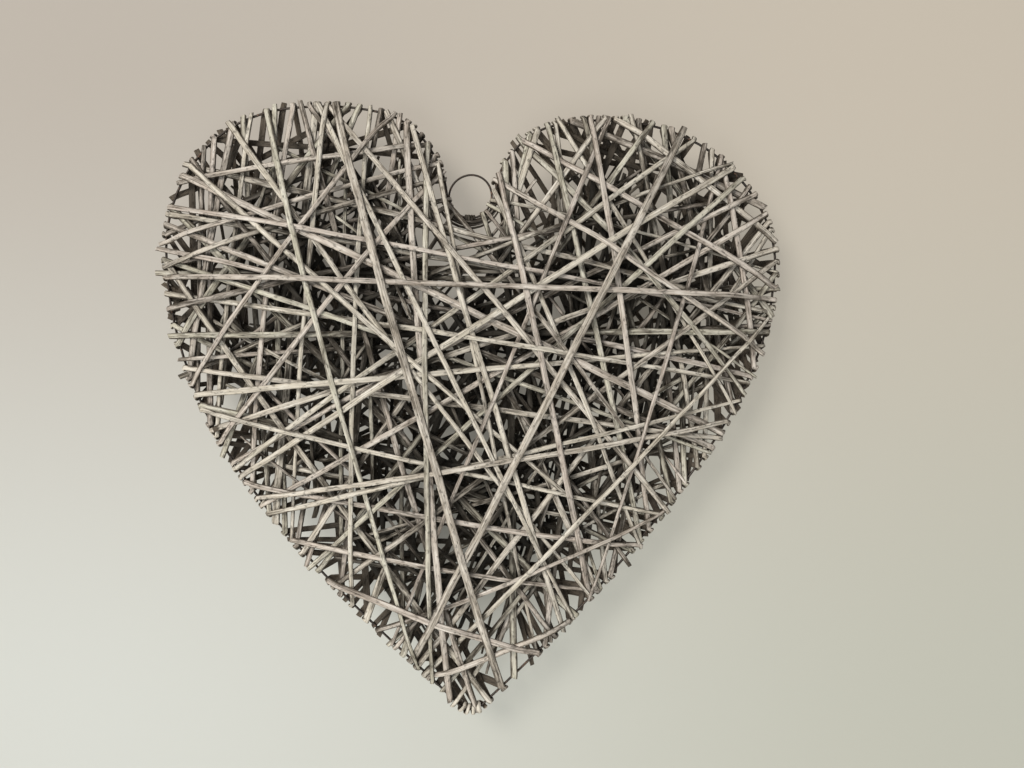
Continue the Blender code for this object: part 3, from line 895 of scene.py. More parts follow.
class NodeSheet:
    """A shader node tree that is being laid out."""

    def __init__(self, tree: bpy.types.NodeTree) -> None:
        """Start on a tree.

        Args:
            tree: the tree to add nodes to.
        """
        self.tree = tree

    def node(self, kind: str, **settings: object) -> bpy.types.Node:
        """Add a node.

        Args:
            kind: its type.
            settings: values of its own fields.

        Returns:
            The node.
        """
        made = self.tree.nodes.new(kind)
        for name, value in settings.items():
            setattr(made, name, value)
        return made

    def feed(self, socket: bpy.types.NodeSocket, value: object) -> None:
        """Link a socket to another one, or set it to a plain value.

        Args:
            socket: the socket that is fed.
            value: the other socket or the value.
        """
        if isinstance(value, bpy.types.NodeSocket):
            self.tree.links.new(value, socket)
        else:
            socket.default_value = value

    def math(self, operation: str, *values: object) -> bpy.types.NodeSocket:
        """Work out a sum or the like.

        Args:
            operation: name of the sum.
            values: sockets or numbers that go into it.

        Returns:
            Socket of the result.
        """
        made = self.node("ShaderNodeMath", operation=operation)
        for socket, value in zip(made.inputs, values):
            self.feed(socket, value)
        return made.outputs[0]

    def noise(self, vector: bpy.types.NodeSocket, layer: NoiseField) -> bpy.types.NodeSocket:
        """Read a noise field.

        Args:
            vector: socket of the place on the surface.
            layer: the field.

        Returns:
            Socket of its value.
        """
        scaled = self.node("ShaderNodeVectorMath", operation="MULTIPLY_ADD")
        for socket, value in zip(scaled.inputs, (vector, layer.scale, layer.shift)):
            self.feed(socket, value)
        made = self.node("ShaderNodeTexNoise")
        for name, value in (("Vector", scaled.outputs[0]), ("Scale", 1.0),
                            ("Detail", layer.detail), ("Roughness", layer.roughness)):
            self.feed(made.inputs[name], value)
        return made.outputs["Fac"]

    def bump(self, height: bpy.types.NodeSocket, strength: float,
             distance: float) -> bpy.types.NodeSocket:
        """Turn a height into relief.

        Args:
            height: its socket.
            strength: how much of the relief shows, from 0 to 1.
            distance: depth of the relief, in metres.

        Returns:
            Socket of the normal.
        """
        made = self.node("ShaderNodeBump")
        for name, value in (("Strength", strength), ("Distance", distance), ("Height", height)):
            self.feed(made.inputs[name], value)
        return made.outputs["Normal"]

    def ramp(self, value: object, low: object, high: object, bottom: float = 0.0,
             top: float = 1.0) -> bpy.types.NodeSocket:
        """Map a value smoothly from one range to another.

        Args:
            value: the value.
            low: start of its range.
            high: end of its range.
            bottom: result at the start.
            top: result at the end.

        Returns:
            Socket of the result.
        """
        made = self.node("ShaderNodeMapRange", interpolation_type="SMOOTHSTEP")
        for name, given in (("Value", value), ("From Min", low), ("From Max", high),
                            ("To Min", bottom), ("To Max", top)):
            self.feed(made.inputs[name], given)
        return made.outputs["Result"]

    def mix(self, share: object, first: object, second: object,
            blend: str = "MIX") -> bpy.types.NodeSocket:
        """Mix two colours.

        Args:
            share: of the second one.
            first: colour at share 0.
            second: colour at share 1.
            blend: the way of mixing.

        Returns:
            Socket of the mixed colour.
        """
        made = self.node("ShaderNodeMix", data_type="RGBA", blend_type=blend)
        self.feed(made.inputs["Factor"], share)
        self.feed(made.inputs["A"], self.colour(first))
        self.feed(made.inputs["B"], self.colour(second))
        return made.outputs["Result"]

    def colour(self, value: object) -> object:
        """A colour as four numbers, or the socket as it is."""
        return value if isinstance(value, bpy.types.NodeSocket) else (*value, 1.0)

    def attribute(self, name: str) -> bpy.types.Node:
        """Node that reads a surface value kept on the mesh."""
        return self.node("ShaderNodeAttribute", attribute_name=name)

    def split(self, vector: bpy.types.NodeSocket) -> list[bpy.types.NodeSocket]:
        """Split a vector.

        Args:
            vector: its socket.

        Returns:
            Sockets of its three parts.
        """
        made = self.node("ShaderNodeSeparateXYZ")
        self.feed(made.inputs[0], vector)
        return list(made.outputs)

    def place_group(self, group: bpy.types.NodeTree, **values: object) -> bpy.types.Node:
        """Add a group node and feed its inputs.

        Args:
            group: the group.
            values: what feeds its inputs, by name with underscores for spaces.

        Returns:
            The node.
        """
        made = self.node("ShaderNodeGroup", node_tree=group)
        for name, value in values.items():
            self.feed(made.inputs[name.replace("_", " ")], value)
        return made


class EffectGroup:
    """A shader node group with named inputs and outputs, built once."""

    title = ""
    inputs: dict[str, tuple[str, float]] = {}
    outputs: tuple[str, ...] = ()

    def __init__(self) -> None:
        """Make the group and lay out its nodes."""
        self.tree = bpy.data.node_groups.new(self.title, "ShaderNodeTree")
        for name, (kind, default) in self.inputs.items():
            socket = self.tree.interface.new_socket(name, in_out="INPUT", socket_type=kind)
            if kind == "NodeSocketFloat":
                socket.default_value = default
        for name in self.outputs:
            self.tree.interface.new_socket(name, in_out="OUTPUT", socket_type="NodeSocketFloat")
        sheet = NodeSheet(self.tree)
        given = sheet.node("NodeGroupInput")
        result = sheet.node("NodeGroupOutput")
        for name, socket in self.lay_out(sheet, given.outputs).items():
            sheet.feed(result.inputs[name], socket)

    def lay_out(self, sheet: NodeSheet,
                given: bpy.types.NodeOutputs) -> dict[str, bpy.types.NodeSocket]:
        """Lay out the group's nodes.

        Args:
            sheet: the group's tree.
            given: sockets of its inputs.

        Returns:
            The socket for each output.
        """
        raise NotImplementedError


class WoodFibre(EffectGroup):
    """Long fibres, slow blotches and small dark specks along a cane."""

    title = "Wood fibre"
    inputs = {"Grain": ("NodeSocketVector", 0.0)}
    outputs = ("Fibre", "Blotch", "Speck", "Height")
    fine = NoiseField((32.0, 1500.0, 1500.0), detail=3.0, roughness=0.6)
    coarse = NoiseField((14.0, 520.0, 520.0), (3.1, 1.7, 0.0))
    blotches = NoiseField((45.0, 120.0, 120.0), (7.7, 0.0, 2.2), 3.0, 0.6)
    pits = NoiseField((190.0, 420.0, 420.0), (0.0, 4.4, 9.1), 2.0, 0.55)
    fine_share: float = 0.55
    coarse_share: float = 0.45
    fibre_range: Range = (0.36, 0.64)
    blotch_range: Range = (0.32, 0.68)
    speck_range: Range = (0.60, 0.68)
    dent_range: Range = (0.56, 0.68)
    dent_depth: float = 0.6

    def lay_out(self, sheet: NodeSheet,
                given: bpy.types.NodeOutputs) -> dict[str, bpy.types.NodeSocket]:
        """Lay out the group's nodes.

        Args:
            sheet: the group's tree.
            given: sockets of its inputs.

        Returns:
            The socket for each output.
        """
        grain = given["Grain"]
        fine = sheet.math("MULTIPLY", sheet.noise(grain, self.fine), self.fine_share)
        coarse = sheet.math("MULTIPLY", sheet.noise(grain, self.coarse), self.coarse_share)
        fibre = sheet.math("ADD", fine, coarse)
        blotch = sheet.noise(grain, self.blotches)
        pits = sheet.noise(grain, self.pits)
        dents = sheet.math("MULTIPLY", sheet.ramp(pits, *self.dent_range), self.dent_depth)
        return {"Fibre": sheet.ramp(fibre, *self.fibre_range),
                "Blotch": sheet.ramp(blotch, *self.blotch_range),
                "Speck": sheet.ramp(pits, *self.speck_range),
                "Height": sheet.math("SUBTRACT", fibre, dents)}


class RubbedWash(EffectGroup):
    """Where thin paint has taken: outward, near the surface (less under other canes, partly as painted
    shade), and patchily over the fibres.
    """

    title = "Rubbed wash"
    inputs = {"Grain": ("NodeSocketVector", 0.0), "Facing": ("NodeSocketFloat", 1.0),
              "Buried": ("NodeSocketFloat", 0.0), "Fibre": ("NodeSocketFloat", 0.5),
              "Thinness": ("NodeSocketFloat", 0.3)}
    outputs = ("Cover", "Chalk")
    patches = NoiseField((52.0, 300.0, 300.0), (1.3, 0.0, 5.9), 3.0, 0.65)
    facing_range: Range = (-0.45, 0.62)  # where the brush begins to reach, and where it reaches fully
    burial: float = 0.95  # most that it is kept off by the canes above, partly as painted shade under them
    patch_range: Range = (0.62, 0.30)
    bare_fibre_range: Range = (0.45, 0.0)
    bare_fibre: float = 0.22
    cover_range: Range = (0.05, 0.80)
    chalk_patch_range: Range = (0.50, 0.72)
    chalk_fibre_range: Range = (0.35, 0.9)
    chalk_body_range: Range = (0.45, 0.95)

    def lay_out(self, sheet: NodeSheet,
                given: bpy.types.NodeOutputs) -> dict[str, bpy.types.NodeSocket]:
        """Lay out the group's nodes.

        Args:
            sheet: the group's tree.
            given: sockets of its inputs.

        Returns:
            The socket for each output.
        """
        patch = sheet.noise(given["Grain"], self.patches)
        reach = sheet.ramp(given["Facing"], *self.facing_range)
        shade = sheet.math("SUBTRACT", 1.0, sheet.math("MULTIPLY", given["Buried"], self.burial))
        body = sheet.math("MULTIPLY", reach, shade)
        worn = sheet.math("MULTIPLY", sheet.ramp(patch, *self.patch_range), given["Thinness"])
        bare = sheet.ramp(given["Fibre"], *self.bare_fibre_range)
        worn = sheet.math("ADD", worn, sheet.math("MULTIPLY", bare, self.bare_fibre))
        cover = sheet.math("SUBTRACT", body, worn)
        chalk = sheet.math("MULTIPLY", sheet.ramp(patch, *self.chalk_patch_range),
                           sheet.ramp(given["Fibre"], *self.chalk_fibre_range))
        return {"Cover": sheet.ramp(cover, *self.cover_range),
                "Chalk": sheet.math("MULTIPLY", chalk, sheet.ramp(body, *self.chalk_body_range))}


class WireMarks(EffectGroup):
    """Dull patches, rust blooms and fine scratches on old drawn wire."""

    title = "Old wire marks"
    inputs = {"Coarseness": ("NodeSocketFloat", 300.0)}
    outputs = ("Bloom", "Dullness", "Height")
    areas = NoiseField((45.0, 45.0, 45.0), detail=3.0)
    spot_detail: float = 4.0
    spot_range: Range = (0.50, 0.68)
    area_range: Range = (0.42, 0.62)
    dull_range: Range = (0.3, 0.7)

    def lay_out(self, sheet: NodeSheet,
                given: bpy.types.NodeOutputs) -> dict[str, bpy.types.NodeSocket]:
        """Lay out the group's nodes.

        Args:
            sheet: the group's tree.
            given: sockets of its inputs.

        Returns:
            The socket for each output.
        """
        place = sheet.node("ShaderNodeTexCoord").outputs["Object"]
        spots = sheet.node("ShaderNodeTexNoise")
        sheet.feed(spots.inputs["Vector"], place)
        sheet.feed(spots.inputs["Scale"], given["Coarseness"])
        spots.inputs["Detail"].default_value = self.spot_detail
        area = sheet.noise(place, self.areas)
        return {"Bloom": sheet.math("MULTIPLY", sheet.ramp(spots.outputs["Fac"], *self.spot_range),
                                    sheet.ramp(area, *self.area_range)),
                "Dullness": sheet.ramp(area, *self.dull_range),
                "Height": spots.outputs["Fac"]}


@dataclass
class Workshop:
    """The effect groups, made once and shared by the finishes."""

    fibre: WoodFibre = field(default_factory=WoodFibre)
    wash: RubbedWash = field(default_factory=RubbedWash)
    wire: WireMarks = field(default_factory=WireMarks)


def blank_material(name: str) -> tuple[bpy.types.Material, NodeSheet, bpy.types.Node]:
    """A new material with only its Principled shader.

    Args:
        name: the material's name.

    Returns:
        The material, its node sheet and the shader.
    """
    material = bpy.data.materials.new(name)
    material.use_nodes = True
    return material, NodeSheet(material.node_tree), material.node_tree.nodes["Principled BSDF"]


@dataclass(frozen=True)
class WashedCane:
    """Split willow, bare brown under a grey wash that is rubbed back."""

    name: str = "grey_washed_cane"
    bare: Rgb = (0.124, 0.099, 0.073)
    # near black: painted shade on bare wood under other canes, and the dark of the grain's crevices and
    # specks
    dark_grain_and_painted_shade: Rgb = (0.0195, 0.0165, 0.0115)
    warm: Rgb = (0.592, 0.538, 0.442)
    rosy: Rgb = (0.508, 0.436, 0.374)
    mossy: Rgb = (0.530, 0.500, 0.396)
    chalk: Rgb = (0.785, 0.752, 0.690)
    thinness: float = 0.42
    streak: float = 0.52  # how strongly bare wood shows between the fibres
    cloud: float = 0.27  # and how strongly paler clouds, chalky rubs and dark specks do
    rub: float = 0.75
    speck: float = 0.48
    crevice: float = 0.5  # how much darker the bare wood is between its fibres
    streak_range: Range = (0.8, 0.1)
    roughness: Range = (0.62, 0.86)  # of bare wood and of wash
    specular: float = 0.25
    bump_strength: float = 0.8
    bump_distance: float = 0.0014

    def make(self, workshop: Workshop) -> bpy.types.Material:
        """Build the material.

        Args:
            workshop: the effect groups.

        Returns:
            The material.
        """
        material, sheet, shader = blank_material(self.name)
        grain = sheet.attribute(GRAIN).outputs["Vector"]
        facing, buried, tone = sheet.split(sheet.attribute(WASH_AND_SHADE).outputs["Vector"])
        wood = sheet.place_group(workshop.fibre.tree, Grain=grain)
        wash = sheet.place_group(workshop.wash.tree, Grain=grain, Facing=facing, Buried=buried,
                                 Fibre=wood.outputs["Fibre"], Thinness=self.thinness)
        # painted shade: bare wood darkens toward near black the deeper it lies under other canes
        bare = sheet.mix(buried, self.bare, self.dark_grain_and_painted_shade)
        bare = sheet.mix(wood.outputs["Fibre"], sheet.mix(self.crevice, bare, self.dark_grain_and_painted_shade), bare)
        rosy = sheet.ramp(tone, Tone.WARM.value, Tone.ROSY.value)
        paint = sheet.mix(rosy, self.warm, self.rosy)
        mossy = sheet.ramp(tone, Tone.ROSY.value, Tone.MOSSY.value)
        paint = sheet.mix(mossy, paint, self.mossy)
        streak = sheet.ramp(wood.outputs["Fibre"], *self.streak_range)
        streak = sheet.math("MULTIPLY", streak, self.streak)
        paint = sheet.mix(streak, paint, self.bare)
        paint = sheet.mix(sheet.math("MULTIPLY", wood.outputs["Blotch"], self.cloud), paint, self.chalk)
        colour = sheet.mix(wash.outputs["Cover"], bare, paint)
        colour = sheet.mix(sheet.math("MULTIPLY", wash.outputs["Chalk"], self.rub), colour, self.chalk)
        colour = sheet.mix(sheet.math("MULTIPLY", wood.outputs["Speck"], self.speck), colour, self.dark_grain_and_painted_shade)
        sheet.feed(shader.inputs["Base Color"], colour)
        sheet.feed(shader.inputs["Roughness"],
                   sheet.ramp(wash.outputs["Cover"], 0.0, 1.0, *self.roughness))
        sheet.feed(shader.inputs["Normal"],
                   sheet.bump(wood.outputs["Height"], self.bump_strength, self.bump_distance))
        shader.inputs["Specular IOR Level"].default_value = self.specular
        return material


@dataclass(frozen=True)
class DarkWire:
    """Old annealed steel wire, dark brown with rust blooms."""

    name: str = "dark_steel_wire"
    steel: Rgb = (0.050, 0.042, 0.036)
    rust: Rgb = (0.130, 0.070, 0.040)
    coarseness: float = 420.0  # of the rust spots
    metallic: Range = (0.85, 0.1)  # of clean wire and of rust
    roughness: Range = (0.38, 0.62)  # of the smoothest and of the dullest wire
    bump_strength: float = 0.3
    bump_distance: float = 0.0003

    def make(self, workshop: Workshop) -> bpy.types.Material:
        """Build the material.

        Args:
            workshop: the effect groups.

        Returns:
            The material.
        """
        material, sheet, shader = blank_material(self.name)
        marks = sheet.place_group(workshop.wire.tree, Coarseness=self.coarseness)
        bloom = marks.outputs["Bloom"]
        sheet.feed(shader.inputs["Base Color"], sheet.mix(bloom, self.steel, self.rust))
        sheet.feed(shader.inputs["Metallic"], sheet.ramp(bloom, 0.0, 1.0, *self.metallic))
        sheet.feed(shader.inputs["Roughness"],
                   sheet.ramp(marks.outputs["Dullness"], 0.0, 1.0, *self.roughness))
        sheet.feed(shader.inputs["Normal"],
                   sheet.bump(marks.outputs["Height"], self.bump_strength, self.bump_distance))
        return material


@dataclass
class MeshDraft:
    """Corners, faces and surface values of a mesh that is being built from sections."""

    corners: list[Vector] = field(default_factory=list)
    faces: list[tuple[int, ...]] = field(default_factory=list)
    grain: list[Triple] = field(default_factory=list)
    wash_and_shade: list[Triple] = field(default_factory=list)

    def bridge(self, count: int, closed: bool = False) -> None:
        """Join the last two sections with faces.

        Args:
            count: corners of a section.
            closed: join the last section to the first one instead.
        """
        total = len(self.corners)
        here = total - count if closed else total - 2 * count
        ahead = 0 if closed else total - count
        for i in range(count):
            j = (i + 1) % count
            self.faces.append((here + i, here + j, ahead + j, ahead + i))

    def piece(self, name: str, material: bpy.types.Material) -> bpy.types.Object:
        """The finished piece, smooth shaded.

        Args:
            name: the piece's name.
            material: its finish.

        Returns:
            The object, linked to the scene.
        """
        mesh = bpy.data.meshes.new(name)
        mesh.from_pydata(self.corners, [], self.faces)
        mesh.shade_smooth()
        mesh.materials.append(material)
        for title, values in ((GRAIN, self.grain), (WASH_AND_SHADE, self.wash_and_shade)):
            if values:
                layer = mesh.attributes.new(title, "FLOAT_VECTOR", "POINT")
                layer.data.foreach_set("vector", [part for value in values for part in value])
        mesh.validate()
        return add_object(name, mesh)


@dataclass
class Cane:
    """One split willow cane: half round, slightly crooked, tapering from butt to tip."""

    route: Line
    tone: float
    worn: float = 0.0  # how much of its wash has gone all over
    edge_worn: float = 0.55  # and how much further it is rubbed off the sides at the heart wire
    sides: int = 12
    outer_share: float = 0.34  # crown above the middle, as a share of the width
    inner_share: float = 0.19
    taper: float = 0.08
    width_noise: float = 0.07
    wander: float = 0.0009
    twist: float = 0.10
    width_wave: float = 0.035  # lengths over which the width, the line and the roll vary
    wander_wave: float = 0.055
    twist_wave: float = 0.12
    most_crown: float = 0.0017
    crown_wave: float = 0.02
    crown_noise: float = 0.06
    most_sole: float = 0.0009
    side_power: float = 0.70  # the lower, the boxier the section is there
    crown_power: float = 0.8
    sole_power: float = 0.5
    ridge_wave: float = 0.03
    ridge_step: float = 1.9  # how far apart neighbouring corners read the noise
    ridge_noise: float = 0.07
    end_size: float = 0.86  # of the cut ends, over the rest
    end_slant: float = 0.0015
    end_slant_wave: float = 1.7
    wash_turn: float = 0.5  # how far the way that the wash comes from turns with the cane
    seed_step: float = 7.3  # how far apart canes and traits read the noise
    trait_step: float = 11.7

    def noise_at(self, along: float, wave: float, trait: Trait) -> float:
        """Slow random value from -1 to 1 at a distance along the cane."""
        spot = (along / wave, self.route.seed * self.seed_step, trait.value * self.trait_step)
        return noise.noise(Vector(spot))

    def section(self, station: Station, draft: MeshDraft, scale: float = 1.0,
                slant: float = 0.0) -> None:
        """Add the cane's section at a station.

        Args:
            station: where the section is.
            draft: the mesh that it goes into.
            scale: its size over the usual one.
            slant: how far one edge runs ahead of the other, in metres.
        """
        along = station.along
        total = self.route.stations[-1].along
        taper = 1 + self.taper * (1 - 2 * along / total)
        wide = 1 + self.width_noise * self.noise_at(along, self.width_wave, Trait.WIDTH)
        half = self.route.width / 2 * taper * scale * wide
        straight = 1 - station.bend
        shift = self.wander * self.noise_at(along, self.wander_wave, Trait.LINE) * straight
        roll = self.twist * self.noise_at(along, self.twist_wave, Trait.ROLL) * straight
        across = station.lateral * math.cos(roll) + station.outward * math.sin(roll)
        out = station.outward * math.cos(roll) - station.lateral * math.sin(roll)
        place = station.place + station.lateral * shift
        high = 1 + self.crown_noise * self.noise_at(along, self.crown_wave, Trait.CROWN)
        crown = min(2 * half * self.outer_share, self.most_crown) * high
        sole = min(2 * half * self.inner_share, self.most_sole)
        washed_from = self.facing(station)
        for index in range(self.sides):
            angle = 2 * math.pi * (index + 0.5) / self.sides
            side = math.copysign(abs(math.cos(angle)) ** self.side_power, math.cos(angle)) * half
            rise = math.sin(angle)
            depth = crown * rise ** self.crown_power if rise > 0 else -sole * abs(rise) ** self.sole_power
            grip = Vector((along / self.ridge_wave, index * self.ridge_step, self.route.seed))
            ridge = 1 + self.ridge_noise * noise.noise(grip)
            spot = place + across * side * ridge + out * depth * ridge
            spot += station.travel * slant * side / half
            normal = across * (side / half) + out * rise
            draft.corners.append(spot)
            draft.grain.append((along, side + self.route.seed, depth))
            facing = normal.normalized().dot(washed_from) - self.edge_worn * station.edge
            # the depth under other canes also sets painted shade on the bare wood
            draft.wash_and_shade.append((facing, min(station.buried + self.worn, 1.0), self.tone))

    def facing(self, station: Station) -> Vector:
        """Direction from which the wash reaches a station: out of its face of the heart."""
        face = Vector((0.0, -1.0 if station.place.y < FRONT_LIMIT else 1.0, 0.0))
        return face.lerp(station.outward, self.wash_turn).normalized()

    def add_to(self, draft: MeshDraft) -> None:
        """Add the whole cane to a mesh.

        Args:
            draft: the mesh.
        """
        stations = self.route.stations
        first = len(draft.corners)
        for index, station in enumerate(stations):
            from_end = min(index, len(stations) - 1 - index)
            if from_end == 0:
                slant = self.end_slant * self.noise_at(index, self.end_slant_wave, Trait.CUT)
                self.section(station, draft, self.end_size, slant)
            else:
                self.section(station, draft)
            if index:
                draft.bridge(self.sides)
        draft.faces.append(tuple(range(first, first + self.sides))[::-1])
        last = len(draft.corners) - self.sides
        draft.faces.append(tuple(range(last, last + self.sides)))


@dataclass
class ThinSplit(Cane):
    """A thin split, more uneven than a cane and with fewer sides."""

    sides: int = 8
    outer_share: float = 0.32
    inner_share: float = 0.20
    taper: float = 0.22
    width_noise: float = 0.14


@dataclass(frozen=True)
class SeenSplit:
    """A split that shows clearly from the front."""

    start: tuple[float, float]  # centimetres right of the ring's middle and above its top
    end: tuple[float, float]
    height: float = 0.96  # share of the mat's height

    def holds(self, rim: Rim) -> tuple[Hold, Hold]:
        """Find its holds on the heart wire.

        Args:
            rim: the heart wire.

        Returns:
            The points of the wire nearest to its start and its end.
        """
        spots = (Vector((x / CENTIMETRES, 0.0, z / CENTIMETRES)) for x, z in (self.start, self.end))
        first, last = (rim.hold_at(rim.arc_of(spot)) for spot in spots)
        return first, last


SEEN_SPLITS = (
    SeenSplit((-25.3, -20.6), (27.2, -16.0)),
    SeenSplit((-28.1, -11.2), (26.6, -19.9)),
    SeenSplit((-3.9, 0.6), (3.3, -42.3)),
    SeenSplit((-28.2, -8.0), (23.0, -26.6)),
    SeenSplit((-26.7, 1.0), (14.7, -35.0)),
    SeenSplit((13.1, 5.4), (-7.2, -44.2)),
    SeenSplit((-22.5, 4.3), (8.0, -37.0)),
    SeenSplit((-13.6, 6.5), (-17.2, -34.7)),
    SeenSplit((23.8, 1.7), (8.5, -37.5)),
    SeenSplit((4.9, 3.2), (25.2, -20.2)),
    SeenSplit((-4.4, 2.5), (-3.7, -48.0)),
    SeenSplit((-2.7, -3.0), (16.0, -28.0)),
    SeenSplit((2.9, -1.8), (15.9, -34.8)),
    SeenSplit((-28.0, -3.2), (26.9, -13.5)),
    SeenSplit((-19.9, -32.8), (25.2, -21.3)),
    SeenSplit((-14.3, 6.0), (9.0, -41.2)),
    SeenSplit((-8.1, -42.5), (17.8, -31.6)),
    SeenSplit((-3.0, -46.0), (25.2, -13.0)),
    SeenSplit((-17.2, -34.8), (11.4, -39.0)),
    SeenSplit((-19.3, 6.0), (-2.5, -44.0)),
    SeenSplit((-25.5, -22.4), (17.1, -31.3)),
    SeenSplit((8.5, 5.0), (24.3, -21.9)),
    SeenSplit((-2.6, -3.2), (-26.0, -19.0), 0.55),
    SeenSplit((-2.0, -4.0), (-19.5, -31.0), 0.55),
    SeenSplit((-25.8, 0.4), (28.7, -13.2), 0.70),
    SeenSplit((-28.8, -3.6), (28.7, -13.0), 0.70),
    SeenSplit((-28.6, -12.7), (28.1, -1.3), 0.70),
    SeenSplit((-27.7, -19.2), (25.7, 2.2), 0.70),
    SeenSplit((1.5, -4.3), (9.5, -36.5), 0.55),
    SeenSplit((2.0, -3.9), (19.5, -28.5), 0.55),
    SeenSplit((2.6, -3.3), (25.5, -18.5), 0.55),
    SeenSplit((2.9, -2.6), (28.0, -9.0), 0.55),
    SeenSplit((-3.0, -2.4), (-27.5, -8.5), 0.55),
)
LONG_TWIG = SeenSplit((-28.9, -9.3), (28.9, -10.8), 0.45)  # its left end stands out past the rim


@dataclass
class CaneMat:
    """The whole winding: the canes, and the thin splits threaded between them."""

    cane_thickness: float = 0.0024
    strands: int = 96
    strand_widths: tuple[float, float] = (0.0024, 0.0044)
    strand_heights: tuple[float, float] = (0.08, 0.70)  # shares of the mat's height
    strand_front_share: float = 0.62
    strands_per_piece: int = 10
    seen_widths: tuple[float, float] = (0.0038, 0.0053)
    strand_insets: tuple[float, float] = (0.035, 0.085)  # from the wire to a strand's end
    tuck: float = 0.006
    twig_overhang: float = 0.0038
    shortest: float = 0.24
    least_outward: float = 0.45
    most_wear: float = 0.34
    tries: int = 4000
    seed: int = 11
    first_cane_seed: float = 0.1
    cane_seed_step: float = 0.37
    first_split_seed: float = 40.0
    split_seed_step: float = 0.41
    low_height: float = 0.6  # seen splits up to this height are narrower, by low_width
    low_width: float = 0.8
    cut_every: int = 3  # one seen split in this many has cut ends, the others' are turned in
    ring_zone: tuple[float, float] = (0.030, -0.10)  # half its width, and its lowest height
    notch_zone: tuple[float, float] = (0.032, -0.046)
    places_checked: int = 48
    tone_weights: tuple[int, int, int] = (4, 3, 3)
    tone_spread: float = 0.2
    pieces: list[bpy.types.Object] = field(default_factory=list)

    def build(self, finish: bpy.types.Material) -> None:
        """Build every cane and split.

        Args:
            finish: their material.
        """
        chooser = random.Random(self.seed)
        nodes = sorted(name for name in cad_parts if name.startswith("cane_"))
        canes = []
        for number, node in enumerate(nodes):
            solid = SolidSpans(node=node)
            seed = number * self.cane_seed_step + self.first_cane_seed
            canes.append(Route(spans=solid.spans, width=solid.width, seed=seed))
        rim = Rim(SolidReader("frame_wire").loop_middles(WIRE_SIDE))
        strands = self.thread_strands(canes, rim, chooser)
        BurialSurvey(canes + strands, rim)
        for node, route in zip(nodes, canes):
            draft = MeshDraft()
            Cane(route, self.tone_of(chooser), self.wear_of(chooser)).add_to(draft)
            piece = self.dress(draft, "willow_" + node, finish)
            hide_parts(node)
        for first in range(0, len(strands), self.strands_per_piece):
            draft = MeshDraft()
            for route in strands[first:first + self.strands_per_piece]:
                ThinSplit(route, self.tone_of(chooser), self.wear_of(chooser)).add_to(draft)
            self.dress(draft, "thin_splits_%02d" % (first // self.strands_per_piece + 1), finish)

    def dress(self, draft: MeshDraft, name: str, finish: bpy.types.Material) -> bpy.types.Object:
        """Make a piece of the winding and report it.

        Args:
            draft: its mesh.
            name: its name.
            finish: its material.

        Returns:
            The piece.
        """
        piece = draft.piece(name, finish)
        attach(piece, BODY)
        self.pieces.append(piece)
        log.info("built %s, %d faces", name, len(draft.faces))
        return piece

    def thread_strands(self, canes: list[Route], rim: Rim, chooser: random.Random) -> list[Route]:
        """Thread the thin splits between the canes, each held where canes turn round the wire.

        Args:
            canes: the canes' routes.
            rim: the heart wire.
            chooser: source of random choices.

        Returns:
            The splits' routes.
        """
        space = MatSpace()
        for route in canes:
            space.add(route, self.cane_thickness)
        taken = [rim.arc_of(hold.place) for route in canes for span in route.spans for hold in span.holds]
        threader = StrandThreader(space)
        found: list[Route] = []
        for _ in range(self.tries):
            if len(found) == self.strands:
                break
            start, end = (rim.hold_at(arc) for arc in chooser.sample(taken, 2))
            if self.by_ring(start) or self.by_ring(end) or not self.is_clear(rim, start, end):
                continue
            travel = (end.place - start.place).normalized()
            start = Hold(start.place + travel * chooser.uniform(*self.strand_insets), start.out)
            end = Hold(end.place - travel * chooser.uniform(*self.strand_insets), end.out)
            side = -1 if chooser.random() < self.strand_front_share else 1
            width = chooser.uniform(*self.strand_widths)
            height = chooser.uniform(*self.strand_heights)
            found.append(self.thread(threader, SplitPlan((start, end), side, width, height), len(found)))
        for split in SEEN_SPLITS:
            width = chooser.uniform(*self.seen_widths)
            width *= 1.0 if split.height > self.low_height else self.low_width
            tuck = self.tuck if len(found) % self.cut_every else 0.0
            plan = SplitPlan(split.holds(rim), -1, width, split.height, tuck)
            found.append(self.thread(threader, plan, len(found)))
        twig = SplitPlan(LONG_TWIG.holds(rim), -1, self.seen_widths[1], LONG_TWIG.height,
                         overhang=self.twig_overhang)
        found.append(self.thread(threader, twig, len(found)))
        return found

    def thread(self, threader: StrandThreader, plan: SplitPlan, number: int) -> Route:
        """Thread one split.

        Args:
            threader: finds its way.
            plan: where it is to lie.
            number: of the split.

        Returns:
            Its route.
        """
        seed = self.first_split_seed + number * self.split_seed_step
        route = Route(spans=[threader.span(plan)], width=plan.width, seed=seed, tuck=plan.tuck,
                      overhang=plan.overhang)
        threader.space.add(route, threader.thickness)
        return route

    def by_ring(self, hold: Hold) -> bool:
        """Whether a hold is where the hanging ring sits."""
        return abs(hold.place.x) < self.ring_zone[0] and hold.place.z > self.ring_zone[1]

    def is_clear(self, rim: Rim, start: Hold, end: Hold) -> bool:
        """Whether a straight strand between two holds stays inside the heart.

        Args:
            rim: the heart wire.
            start: one hold.
            end: the other one.

        Returns:
            True if it does, is long enough and leaves the wire steeply enough.
        """
        line = end.place - start.place
        if line.length < self.shortest:
            return False
        travel = line.normalized()
        if min(-travel.dot(start.out), travel.dot(end.out)) < self.least_outward:
            return False
        count = self.places_checked
        spots = (start.place.lerp(end.place, index / count) for index in range(1, count))
        return all(rim.encloses(spot) and not self.by_notch(spot) for spot in spots)

    def by_notch(self, spot: Vector) -> bool:
        """Whether a spot is where the ring and the notch are kept open."""
        return abs(spot.x) < self.notch_zone[0] and spot.z > self.notch_zone[1]

